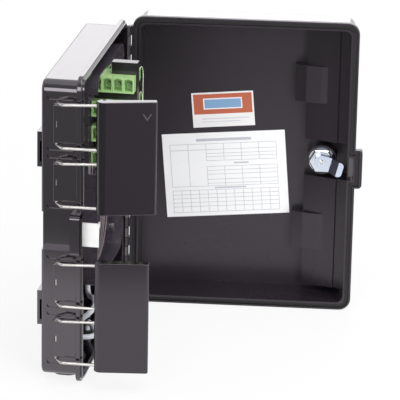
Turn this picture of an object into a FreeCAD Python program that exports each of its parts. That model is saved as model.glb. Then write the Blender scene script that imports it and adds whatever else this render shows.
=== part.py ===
import FreeCAD, Part
import math
import os
import Sketcher

# Fibre splice box, shown with its lid open. The wall is the plane y = 0, the box stands in front of it
# towards -Y, X runs from the latch side (-X) to the hinge side (+X) and Z is up.
doc = FreeCAD.newDocument("fibre_splice_box")

# Driving sizes, in millimetres and degrees
driving = {
    # base and lid
    "rim_width": 224, "rim_height": 300, "rim_corner": 12, "flange": 5, "wall": 3,
    "wall_corner": 10, "base_depth": 38.5, "base_flange_thick": 4.5, "base_back_round": 3,
    "lid_depth": 50, "lid_flange_thick": 6, "lid_front_round": 6, "rim_edge_round": 0.8,
    "rim_gap": 0.3, "lid_open_angle": 95,
    # seal between the rims
    "seal_inset": 4, "tongue_thick": 1.6, "tongue_tall": 2, "groove_width": 4, "groove_depth": 3.4,
    "gasket_thick": 1.2, "fit_gap": 0.1,
    # comb hinge
    "hinge_offset": 5.5, "hinge_sill": 0.9, "knuckle_radius": 4, "knuckle_pairs": 14,
    "hinge_margin": 10, "knuckle_gap": 0.6, "hinge_pin_radius": 1.5, "pin_head_radius": 2.8,
    "pin_head_tall": 1.2, "running_gap": 0.05,
    # finger lip at the lock and the recess behind it
    "lip_half": 20, "lip_proud": 7, "lip_thick": 9, "lip_round": 4, "recess_half": 18.6,
    "recess_deep": 9, "recess_start": 9.5,
    # jog of the rim and its seal round the lock
    "jog_out": 6, "jog_half": 16, "jog_wall": 2, "jog_round": 3, "notch_deep": 6.5,
    # wall brackets
    "bracket_depth": 4.5, "bracket_height": 34, "bracket_width": 206, "bracket_plate": 2.5,
    "bracket_top_rib": 9, "bracket_bottom_rib": 5, "bracket_spacing": 156, "wall_hole_spacing": 156,
    "wall_hole_radius": 3.3, "bracket_screw_spacing": 80,
    # screws
    "screw_radius": 2, "screw_head_radius": 3.8, "screw_head_tall": 2.4, "drive_slot": 0.9,
    "drive_deep": 1.2, "small_screw_radius": 1.4, "small_screw_head_radius": 2.6,
    "small_screw_head_tall": 1.8,
    # latch panels and slots on the latch side
    "panel_proud": 4, "panel_depth": 26.5, "panel_inset": 2, "panel_round": 1, "slot_out": 3.9,
    "slot_height": 5, "slot_deep": 1.5, "slot_near": 8, "slot_far": 33, "window_width": 2,
    "window_height": 6,
    # wire bails
    "wire_radius": 1.5, "bail_spread": 0.26, "bail_share": 0.189, "bail_splay": 1,
    "bail_pivot_proud": 2, "bail_pivot_depth": 23.5, "bail_reach": 45.9, "bail_bend_out": 7.9,
    "bail_bend_along": 7.8, "bail_bend_round": 4, "bail_corner_round": 1.9, "bail_pin_length": 8,
    "upper_bail_angle": -6.9, "lower_bail_angle": -8.7,
    # latch levers
    "lever_start": 23.15, "lever_end_margin": 18.35, "lever_lift": 1, "upper_lever_width": 55.5,
    "lower_lever_width": 50.8, "lever_face": 9.4, "lever_skirt": 0.5, "lever_tip_depth": 8,
    "lever_plate": 2.5, "lever_wall": 2, "hub_edge": 7.5, "hub_half": 3.7, "hub_inner": 2.5,
    "hub_skirt": 1.2, "hub_length": 7, "leg_slot": 4.6, "leg_slot_deep": 4.5,
    "lever_outer_round": 6.5, "lever_edge_round": 0.8, "upper_lever_yaw": 15, "lower_lever_yaw": 8,
    "mark_tall": 7, "mark_width": 9, "mark_stroke": 1.6, "mark_deep": 0.5, "mark_from_tip": 5,
    "mark_from_top": 11,
    # latch recesses in the lid, with finger pockets under the lever tips
    "pad_margin": 4, "pad_far": 60.4, "pad_far_depth": 37.4, "pad_near": 92.8,
    "pad_near_depth": 25.3, "pad_skin": 3.4, "pad_wall": 2.4, "catch_step": 1.6, "finger_half": 19,
    "finger_near": 49, "finger_near_depth": 37.5, "finger_knee": 60, "finger_knee_depth": 33,
    "finger_top": 75, "finger_top_depth": 29.6, "finger_end": 84, "finger_skin": 2.6,
    # cam lock
    "lock_x": 78, "lock_boss_radius": 15, "lock_boss_depth": 28, "lock_cup_radius": 12.2,
    "lock_plate": 3, "barrel_radius": 9.5, "lock_head_radius": 11.4, "lock_head_thick": 2.5,
    "barrel_flat": 8, "washer_radius": 13, "washer_thick": 1, "nut_across": 23, "nut_thick": 5.5,
    "nut_bevel": 1, "plug_radius": 5.5, "key_slot_wide": 1.6, "key_slot_tall": 7, "plug_square": 7,
    "barrel_end": 1, "cam_thick": 3, "cam_width": 15, "cam_reach": 22, "cam_crank": 7.5,
    "cam_crank_at": 9, "cam_rest_angle": 14,
    # strike plate
    "strike_thick": 1.5, "strike_half": 11.6, "strike_drop": 3, "strike_reach": 15.4,
    "strike_set_in": 1.5, "strike_hook": 7, "hook_from": 6.5, "strike_foot": 9.5,
    "strike_screw_spacing": 12,
    # cable entries
    "entry_near": 8, "entry_far": 30, "entry_left": -92, "entry_right": 92, "entry_tall": 4.5,
    "entry_round": 8, "entry_depth": 16, "entry_first_x": -60, "entry_step": 66, "entry_radius": 8,
    "entry_count": 3, "grommet_flange": 3, "grommet_flange_thick": 2, "grommet_bore": 2.7,
    # cable clamp
    "clamp_rise": 22, "clamp_half": 34, "clamp_centre_x": 46, "clamp_tall": 10, "clamp_thick": 4,
    "clamp_depth": 22, "post_radius": 4.5,
    # splice tray
    "tray_near": -36, "tray_far": 98, "tray_foot": 68, "tray_head": 20, "tray_corner": 14,
    "tray_front": -1, "tray_depth": 9, "tray_wall": 2, "cover_front": 8, "cover_thick": 2,
    "cover_gap": 0.2, "tray_screw_inset": 11, "tray_screw_margin": 22.15, "inlet_x": -6,
    "inlet_depth": 13.7, "inlet_gap": 0.3, "wall_cut_below": 12.1, "wall_cut_drop": 17,
    "coil_x": 31, "coil_rise": 76, "coil_round": 30, "coil_straight": 70, "coil_radius": 2.4,
    "guide_gap": 0.6, "guide_wall": 2, "guide_tall": 5, "holder_width": 26, "holder_height": 40,
    "holder_thick": 4, "sleeve_count": 6, "sleeve_pitch": 4, "sleeve_radius": 1.3,
    "sleeve_length": 38,
    # adapters and their frame
    "adapter_rows": 4, "adapter_columns": 4, "adapter_pitch": 10.1, "row_pitch": 24.7,
    "first_row_drop": 9.8, "port_face_x": -24, "adapter_length": 28, "adapter_width": 9.9,
    "adapter_height": 15, "adapter_clear": 0.4, "port_width": 7.8, "port_height": 11.2,
    "port_deep": 9, "port_key_width": 2.6, "port_key_tall": 0.9, "frame_x": -12, "frame_deep": 10,
    "frame_rail": 3, "frame_rise": 9.5, "frame_step": 8.3, "frame_edge": 1.2, "frame_tab": 12,
    "frame_tab_thick": 2, "frame_tab_height": 8, "ferrule_radius": 1.6, "ferrule_bore": 0.7,
    # pigtails
    "connector_in": 8, "connector_out": 16, "boot_length": 15, "boot_radius": 2.6,
    "boot_tip_radius": 1.5, "pigtail_radius": 0.45, "pigtail_turn_x": 55, "pigtail_row_step": 2,
    "pigtail_bend": 13, "pigtail_entry_drop": 18.1, "pigtail_column_step": 5,
    "pigtail_entry_bend": 5, "pigtail_in": 2, "cover_slot_left": 44, "cover_slot_right": 74,
    "cover_slot_drop": 13.1, "cover_slot_tall": 25,
    # white buffer tube
    "tube_radius": 2.5,
    # label and log sheet inside the lid
    "card_thick": 0.3, "label_width": 62.6, "label_height": 36.4, "label_x": 23.6, "label_z": 43.5,
    "label_tilt": 5, "sheet_width": 125, "sheet_height": 88.5, "sheet_x": 19.6, "sheet_z": -24.8,
    "sheet_tilt": 4.7,
}

# Places that follow from the driving sizes
derived = {
    "rim_y": "-(Sizes.bracket_depth + Sizes.base_depth)",
    "lid_y": "Layout.rim_y - Sizes.rim_gap",
    "lid_front_y": "Layout.lid_y - Sizes.lid_depth",
    "lid_floor_y": "Layout.lid_front_y + Sizes.wall",
    "floor_y": "-(Sizes.bracket_depth + Sizes.wall)",
    "rim_x": "Sizes.rim_width / 2",
    "rim_z": "Sizes.rim_height / 2",
    "wall_x": "Layout.rim_x - Sizes.flange",
    "wall_z": "Layout.rim_z - Sizes.flange",
    "inner_x": "Layout.wall_x - Sizes.wall",
    "inner_z": "Layout.wall_z - Sizes.wall",
    "inner_corner": "Sizes.wall_corner - Sizes.wall",
    "seal_x": "Layout.rim_x - Sizes.seal_inset",
    "seal_z": "Layout.rim_z - Sizes.seal_inset",
    "seal_corner": "Sizes.rim_corner - Sizes.seal_inset",
    "hinge_x": "Layout.rim_x + Sizes.hinge_offset",
    "hinge_y": "Layout.rim_y - Sizes.rim_gap / 2",
    "lid_cos": "cos(Sizes.lid_open_angle * 1deg)",
    "lid_sin": "sin(Sizes.lid_open_angle * 1deg)",
    "lid_shift_x": "Layout.hinge_x * (1 - Layout.lid_cos) + Layout.hinge_y * Layout.lid_sin",
    "lid_shift_y": "Layout.hinge_y * (1 - Layout.lid_cos) - Layout.hinge_x * Layout.lid_sin",
    "knuckle_step": "(Sizes.rim_height - 2 * Sizes.hinge_margin) / (2 * Sizes.knuckle_pairs)",
    "knuckle_length": "Layout.knuckle_step - Sizes.knuckle_gap",
    "pivot_x": "-(Layout.wall_x + Sizes.bail_pivot_proud)",
    "pivot_y": "Layout.rim_y + Sizes.bail_pivot_depth",
    "upper_hub_x": "Layout.pivot_x + Sizes.bail_reach * sin(Sizes.upper_bail_angle * 1deg)",
    "upper_hub_y": "Layout.pivot_y - Sizes.bail_reach * cos(Sizes.upper_bail_angle * 1deg)",
    "lower_hub_x": "Layout.pivot_x + Sizes.bail_reach * sin(Sizes.lower_bail_angle * 1deg)",
    "lower_hub_y": "Layout.pivot_y - Sizes.bail_reach * cos(Sizes.lower_bail_angle * 1deg)",
    "lever_length": "Layout.rim_z - Sizes.lever_end_margin - Sizes.lever_start",
    "lever_mid": "Sizes.lever_start + Layout.lever_length / 2",
    "bail_outer_z": "Layout.lever_mid + Sizes.bail_spread * Layout.lever_length",
    "bail_inner_z": "Layout.lever_mid - Sizes.bail_spread * Layout.lever_length",
    "bail_web_half": "Sizes.bail_share * Layout.lever_length",
    "panel_half": "Layout.bail_web_half - Sizes.panel_inset",
    "slot_offset": "Layout.bail_web_half + Sizes.slot_out",
    "pad_start": "Sizes.lever_start - Sizes.pad_margin",
    "pad_end": "Sizes.lever_start + Layout.lever_length + Sizes.pad_margin",
    "upper_lever_tip": "Sizes.upper_lever_width - Sizes.hub_edge",
    "lower_lever_tip": "Sizes.lower_lever_width - Sizes.hub_edge",
    "pad_slope": "(Sizes.pad_far_depth - Sizes.pad_near_depth) / (Sizes.pad_near - Sizes.pad_far)",
    "strike_x": "-(Layout.inner_x - Sizes.strike_set_in)",
    "shelf_y": "Layout.rim_y + Sizes.recess_start - Sizes.wall",
    "nut_y": "Layout.lid_y - Sizes.lock_boss_depth + Sizes.washer_thick",
    "barrel_end_y": "Layout.nut_y + Sizes.nut_thick + Sizes.barrel_end",
    "cam_y": "Layout.barrel_end_y + Sizes.fit_gap",
    "cover_y": "Layout.rim_y + Sizes.cover_front",
    "tray_y": "Layout.rim_y + Sizes.tray_front",
    "pillar_y": "Layout.cover_y + Sizes.cover_thick + Sizes.cover_gap",
    "tray_back_y": "Layout.pillar_y + Sizes.tray_depth",
    "tray_bottom": "Sizes.tray_foot - Layout.rim_z",
    "tray_top": "Layout.rim_z - Sizes.tray_head",
    "tray_x": "(Sizes.tray_near + Sizes.tray_far) / 2",
    "tray_z": "(Layout.tray_bottom + Layout.tray_top) / 2",
    "tray_half_x": "(Sizes.tray_far - Sizes.tray_near) / 2",
    "tray_half_z": "(Layout.tray_top - Layout.tray_bottom) / 2",
    "clamp_y": "Layout.rim_y + Sizes.clamp_depth",
    "clamp_z": "Sizes.clamp_rise - Layout.rim_z",
    "coil_z": "Layout.tray_bottom + Sizes.coil_rise",
    "first_row_z": "Layout.tray_top - Sizes.first_row_drop",
    "frame_top": "Layout.tray_top + Sizes.frame_rise",
    "first_column_y": "Layout.cover_y - Sizes.adapter_clear - Sizes.adapter_width / 2",
    "last_column_y": "Layout.first_column_y - (Sizes.adapter_columns - 1) * Sizes.adapter_pitch",
    "frame_outer_y": "Layout.last_column_y - Sizes.adapter_width / 2 - Sizes.fit_gap",
    "row_half": "Sizes.adapter_height / 2 + Sizes.fit_gap",
    "last_row_z": "Layout.first_row_z - (Sizes.adapter_rows - 1) * Sizes.row_pitch",
    "adapter_back_x": "Sizes.port_face_x + Sizes.adapter_length",
    "wall_cut_top": "Layout.tray_top - Sizes.wall_cut_drop",
    "wall_cut_bottom": "Layout.last_row_z - Sizes.wall_cut_below",
    "pigtail_entry_z": "Layout.last_row_z - Sizes.pigtail_entry_drop",
    "cover_slot_top": "Layout.last_row_z - Sizes.cover_slot_drop",
    "cover_slot_bottom": "Layout.cover_slot_top - Sizes.cover_slot_tall",
}


def fill_sheet(name, rows, mark):
    sheet = doc.addObject("Spreadsheet::Sheet", name)
    for number, (alias, content) in enumerate(rows.items(), 1):
        sheet.set("A%d" % number, alias)
        sheet.set("B%d" % number, mark + str(content))
        sheet.setAlias("B%d" % number, alias)
    return sheet


sheet = fill_sheet("Sizes", driving, "")
fill_sheet("Layout", derived, "=")
doc.recompute()
subparts = []


def value(text):
    return float(sheet.evalExpression(text))


def bind(item, **properties):
    for name, text in properties.items():
        item.setExpression(name.replace("__", "."), text)


def subpart(item, label):
    item.Label = label
    subparts.append(item)
    return item


def new_body(label):
    return subpart(doc.addObject("PartDesign::Body", label), label)


# Sketches lie on a body's front (XZ), top (XY) or side (YZ) plane. Each entry is the plane's role and
# the sense of its normal along the world axis that the level is measured on.
planes = {"front": ("XZ_Plane", -1), "top": ("XY_Plane", 1), "side": ("YZ_Plane", 1)}
sketch_sense = {}


def new_sketch(body, name, view, level):
    role, sense = planes[view]
    sketch = body.newObject("Sketcher::SketchObject", name)
    sketch.AttachmentSupport = (next(f for f in body.Origin.OriginFeatures if f.Role == role), [""])
    sketch.MapMode = "FlatFace"
    bind(sketch, AttachmentOffset__Base__z=level if sense > 0 else "-(%s)" % level)
    sketch_sense[sketch.Name] = sense
    return sketch


def pin_point(sketch, geometry, point, x, y):
    for kind, text in (("DistanceX", x), ("DistanceY", y)):
        number = sketch.addConstraint(Sketcher.Constraint(kind, -1, 1, geometry, point, value(text)))
        sketch.setExpression("Constraints[%d]" % number, text)


def set_radius(sketch, geometry, text):
    number = sketch.addConstraint(Sketcher.Constraint("Radius", geometry, value(text)))
    sketch.setExpression("Constraints[%d]" % number, text)


def polygon(sketch, points):
    first = sketch.GeometryCount
    count = len(points)
    corners = [FreeCAD.Vector(value(x), value(y), 0) for x, y in points]
    for i in range(count):
        sketch.addGeometry(Part.LineSegment(corners[i], corners[(i + 1) % count]))
    for i in range(count):
        sketch.addConstraint(Sketcher.Constraint("Coincident", first + i, 2, first + (i + 1) % count, 1))
    for i, (x, y) in enumerate(points):
        pin_point(sketch, first + i, 1, x, y)


def rectangle(sketch, left, right, low, high):
    polygon(sketch, [(left, low), (right, low), (right, high), (left, high)])


def arc_loop(sketch, centres, radius):
    # Equal arcs round the given centres, counter-clockwise, joined by tangent lines
    first = sketch.GeometryCount
    count = len(centres)
    size = value(radius)
    middles = [FreeCAD.Vector(value(x), value(y), 0) for x, y in centres]
    turn = 2 * math.pi / count
    up = FreeCAD.Vector(0, 0, 1)
    start = -math.pi / 2
    for i, middle in enumerate(middles):
        arc = Part.ArcOfCircle(Part.Circle(middle, up, size), start + i * turn, start + (i + 1) * turn)
        sketch.addGeometry(arc)
    for i, middle in enumerate(middles):
        swing = FreeCAD.Vector(math.cos(start + (i + 1) * turn), math.sin(start + (i + 1) * turn),
                               0) * size
        sketch.addGeometry(Part.LineSegment(middle + swing, middles[(i + 1) % count] + swing))
    for i, (x, y) in enumerate(centres):
        arc, line, after = first + i, first + count + i, first + (i + 1) % count
        sketch.addConstraint(Sketcher.Constraint("Tangent", arc, 2, line, 1))
        sketch.addConstraint(Sketcher.Constraint("Tangent", line, 2, after, 1))
        pin_point(sketch, arc, 3, x, y)
        set_radius(sketch, arc, radius)


def round_rectangle(sketch, half_x, half_y, radius, x="0", y="0"):
    right, left = "%s + (%s) - (%s)" % (x, half_x, radius), "%s - (%s) + (%s)" % (x, half_x, radius)
    high, low = "%s + (%s) - (%s)" % (y, half_y, radius), "%s - (%s) + (%s)" % (y, half_y, radius)
    arc_loop(sketch, [(right, low), (right, high), (left, high), (left, low)], radius)


def stadium(sketch, left, right, y, radius):
    arc_loop(sketch, [("%s - (%s)" % (right, radius), y), ("%s + (%s)" % (left, radius), y)], radius)


def circle(sketch, x, y, radius):
    middle = FreeCAD.Vector(value(x), value(y), 0)
    number = sketch.addGeometry(Part.Circle(middle, FreeCAD.Vector(0, 0, 1), value(radius)))
    pin_point(sketch, number, 3, x, y)
    set_radius(sketch, number, radius)


def extrude(kind, body, sketch, length, toward):
    feature = body.newObject("PartDesign::" + kind, sketch.Name + "_" + kind.lower())
    feature.Profile = sketch
    along_normal = toward * sketch_sense[sketch.Name] > 0
    feature.Reversed = along_normal if kind == "Pocket" else not along_normal
    bind(feature, Length=length)
    return feature


def pad(body, sketch, length, toward):
    return extrude("Pad", body, sketch, length, toward)


def pocket(body, sketch, length, toward):
    return extrude("Pocket", body, sketch, length, toward)


def in_plane(axis, level):
    place = value(level)
    low, high = axis.upper() + "Min", axis.upper() + "Max"

    def test(edge):
        box = edge.BoundBox
        return abs(getattr(box, low) - place) < 1e-4 and abs(getattr(box, high) - place) < 1e-4
    return test


def along(axis, *near):
    # Straight edges along an axis, and at the given (axis, level) places
    places = [(name.upper(), value(level)) for name, level in near]

    def test(edge):
        box = edge.BoundBox
        lengths = {"x": box.XLength, "y": box.YLength, "z": box.ZLength}
        straight = all(size < 1e-4 for name, size in lengths.items() if name != axis)
        return straight and all(abs(getattr(box, name + "Min") - place) < 1e-4 for name, place in places)
    return test


def soften(body, radius, *tests):
    doc.recompute()
    base = body.Tip
    chosen = [i for i, edge in enumerate(base.Shape.Edges, 1) if any(test(edge) for test in tests)]
    rounding = body.newObject("PartDesign::Fillet", body.Name + "_rounding")
    rounding.Base = (base, ["Edge%d" % i for i in chosen])
    bind(rounding, Radius=radius)
    return rounding


def repeat_up(body, features, step, count):
    pattern = body.newObject("PartDesign::LinearPattern", body.Name + "_row")
    pattern.Originals = features
    pattern.Direction = (next(f for f in body.Origin.OriginFeatures if f.Role == "Z_Axis"), [""])
    bind(pattern, Length="(%s) * (%s - 1)" % (step, count), Occurrences=count)
    body.Tip = pattern


def hang_on_lid(item):
    # The lid and all it carries are drawn closed, then swung open about the hinge pin
    item.Placement = FreeCAD.Placement(FreeCAD.Vector(), FreeCAD.Rotation(FreeCAD.Vector(0, 0, 1), 1))
    bind(item, Placement__Rotation__Angle="Sizes.lid_open_angle * 1deg",
         Placement__Base__x="Layout.lid_shift_x", Placement__Base__y="Layout.lid_shift_y")


def place(item, x, y, z):
    bind(item, Placement__Base__x=x, Placement__Base__y=y, Placement__Base__z=z)


def rod(name, radius, length, x, y, z):
    # A cylinder that runs from the given point along +Y
    item = doc.addObject("Part::Cylinder", name)
    item.Placement.Rotation = FreeCAD.Rotation(FreeCAD.Vector(1, 0, 0), -90)
    bind(item, Radius=radius, Height=length)
    place(item, x, y, z)
    return item


def block(name, length, width, height, x, y, z):
    item = doc.addObject("Part::Box", name)
    bind(item, Length=length, Width=width, Height=height)
    place(item, x, y, z)
    return item


def join(kind, name, base, tool):
    item = doc.addObject("Part::" + kind, name)
    item.Base, item.Tool = base, tool
    return item


def screw(name, x, seat_y, z, length, kind):
    # A pan-head screw whose head stands on the seat towards -Y and whose shank runs along +Y
    sized = "Sizes.%s_" % kind
    head_y = "%s - %shead_tall" % (seat_y, sized)
    shank = rod(name + "_shank", sized + "radius", length, x, seat_y, z)
    head = rod(name + "_head", sized + "head_radius", sized + "head_tall", x, head_y, z)
    wide, thin = sized + "head_radius * 1.2", "Sizes.drive_slot"
    slots = []
    for turn, (long_x, long_z) in enumerate(((wide, thin), (thin, wide))):
        slots.append(block("%s_drive_%d" % (name, turn), long_x, "Sizes.drive_deep", long_z,
                           "%s - (%s) / 2" % (x, long_x), head_y, "%s - (%s) / 2" % (z, long_z)))
    whole = join("Fuse", name + "_whole", shank, head)
    return join("Cut", name, whole, join("Fuse", name + "_cross", *slots))


def screw_group(label, spots, seat_y, length, kind):
    group = doc.addObject("Part::Compound", label)
    group.Links = [screw("%s_%d" % (label, i), x, seat_y, z, length, kind)
                   for i, (x, z) in enumerate(spots, 1)]
    return subpart(group, label)


def screw_holes(body, name, spots, level, length, kind, toward):
    sketch = new_sketch(body, name, "front", level)
    for x, z in spots:
        circle(sketch, x, z, "Sizes.%s_radius + Sizes.fit_gap" % kind)
    pocket(body, sketch, length, toward)


def wire_path(points, radii):
    # Straight runs joined by tangent arcs of the given radii, one for each inner point
    edges = []
    last = points[0]
    for i, radius in enumerate(radii, 1):
        corner = points[i]
        back, ahead = (points[i - 1] - corner).normalize(), (points[i + 1] - corner).normalize()
        opening = back.getAngle(ahead)
        reach = radius / math.tan(opening / 2)
        enter, leave = corner + back * reach, corner + ahead * reach
        bisector = (back + ahead).normalize()
        middle = corner + bisector * (radius / math.sin(opening / 2) - radius)
        if (enter - last).Length > 1e-6:
            edges.append(Part.LineSegment(last, enter).toShape())
        edges.append(Part.Arc(enter, middle, leave).toShape())
        last = leave
    edges.append(Part.LineSegment(last, points[-1]).toShape())
    return Part.Wire(edges)


def tube_along(path, radius):
    first = path.Edges[0]
    ring = Part.makeCircle(radius, first.valueAt(first.FirstParameter),
                           first.tangentAt(first.FirstParameter))
    solid = path.makePipeShell([Part.Wire(ring)], True, False)
    stated = math.pi * radius ** 2 * path.Length
    if abs(solid.Volume / stated - 1) > 0.01:
        raise ValueError("a swept tube's volume is %.1f and its section times its length %.1f"
                         % (solid.Volume, stated))
    return solid


def shaped(label, shapes):
    item = doc.addObject("Part::Feature", label)
    item.Shape = shapes[0] if len(shapes) == 1 else Part.makeCompound(shapes)
    return subpart(item, label)


bail_centres = {"upper_outer": "Layout.bail_outer_z", "upper_inner": "Layout.bail_inner_z",
                "lower_inner": "-Layout.bail_inner_z", "lower_outer": "-Layout.bail_outer_z"}
bracket_levels = {"upper": "Sizes.bracket_spacing / 2", "lower": "-Sizes.bracket_spacing / 2"}
bracket_screw_spots = [("%s Sizes.bracket_screw_spacing / 2" % side,
                        "%s + Sizes.bracket_height / 2 - Sizes.bracket_top_rib / 2" % level)
                       for level in bracket_levels.values() for side in "-+"]
wall_hole_spots = [("%s Sizes.wall_hole_spacing / 2" % side, level)
                   for level in bracket_levels.values() for side in "-+"]
tray_screw_spots = [(x, z) for x in ("Sizes.tray_near + Sizes.tray_screw_inset",
                                     "Sizes.tray_far - Sizes.tray_screw_inset")
                    for z in ("Layout.tray_bottom + Sizes.tray_screw_margin",
                              "Layout.tray_top - Sizes.tray_screw_margin")]
clamp_spots = [("Sizes.clamp_centre_x %s (Sizes.clamp_half - Sizes.post_radius)" % side, "Layout.clamp_z")
               for side in "-+"]
strike_spots = [("Layout.strike_x + Sizes.strike_foot - Sizes.small_screw_head_radius - Sizes.fit_gap",
                 "-Sizes.strike_drop %s Sizes.strike_screw_spacing / 2" % side) for side in "-+"]
entry_spots = ["Sizes.entry_first_x + %d * Sizes.entry_step" % i
               for i in range(int(value("Sizes.entry_count")))]
row_levels = ["Layout.first_row_z - %d * Sizes.row_pitch" % i
              for i in range(int(value("Sizes.adapter_rows")))]
column_levels = ["Layout.first_column_y - %d * Sizes.adapter_pitch" % i
                 for i in range(int(value("Sizes.adapter_columns")))]
frame_screw_spots = [("Sizes.frame_x + Sizes.frame_deep + Sizes.frame_tab / 2",
                      "%s - Sizes.row_pitch / 2" % level)
                     for level in row_levels[:-1]]


def rim_and_lip(body, name, level, flange_thick, toward):
    sign = "+" if toward > 0 else "-"
    flange = new_sketch(body, name + "_flange", "front", level)
    round_rectangle(flange, "Layout.rim_x", "Layout.rim_z", "Sizes.rim_corner")
    pad(body, flange, flange_thick, toward)
    outside = value("Layout.wall_x + 0.5"), value("Layout.wall_z + 0.5")
    back = in_plane("y", "%s %s %s" % (level, sign, flange_thick))
    front = in_plane("y", level)

    def on_rim(edge):
        box = edge.BoundBox
        reach = max(abs(box.XMin), abs(box.XMax)), max(abs(box.ZMin), abs(box.ZMax))
        return (back(edge) or front(edge)) and (reach[0] > outside[0] or reach[1] > outside[1])
    soften(body, "Sizes.rim_edge_round", on_rim)
    lip = new_sketch(body, name + "_lip", "front", level)
    rectangle(lip, "-(Layout.rim_x + Sizes.lip_proud)", "-Layout.inner_x", "-Sizes.lip_half",
              "Sizes.lip_half")
    pad(body, lip, "Sizes.lip_thick", toward)
    outer = "-(Layout.rim_x + Sizes.lip_proud)"
    soften(body, "Sizes.lip_round", along("y", ("x", outer), ("z", "-Sizes.lip_half")),
           along("y", ("x", outer), ("z", "Sizes.lip_half")))


def comb(body, name, first_step, web_near, web_far):
    start = ("Sizes.hinge_margin - Layout.rim_z + Sizes.knuckle_gap / 2 + %d * Layout.knuckle_step"
             % first_step)
    knuckle = new_sketch(body, name + "_knuckle", "top", start)
    circle(knuckle, "Layout.hinge_x", "Layout.hinge_y", "Sizes.knuckle_radius")
    round_part = pad(body, knuckle, "Layout.knuckle_length", 1)
    web = new_sketch(body, name + "_web", "top", start)
    rectangle(web, "Layout.rim_x - 2 * Sizes.rim_edge_round", "Layout.hinge_x", web_near, web_far)
    web_part = pad(body, web, "Layout.knuckle_length", 1)
    repeat_up(body, [round_part, web_part], "2 * Layout.knuckle_step", "Sizes.knuckle_pairs")
    sill = new_sketch(body, name + "_sill", "top", "Sizes.hinge_margin - Layout.rim_z")
    rectangle(sill, "Layout.rim_x - 2 * Sizes.rim_edge_round", "Layout.rim_x + Sizes.hinge_sill",
              web_near, web_far)
    pad(body, sill, "Sizes.rim_height - 2 * Sizes.hinge_margin", 1)


def pin_bore(body, name):
    bore = new_sketch(body, name + "_pin_bore", "top", "-Layout.rim_z")
    circle(bore, "Layout.hinge_x", "Layout.hinge_y", "Sizes.hinge_pin_radius + Sizes.running_gap")
    pocket(body, bore, "Sizes.rim_height", 1)


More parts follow.
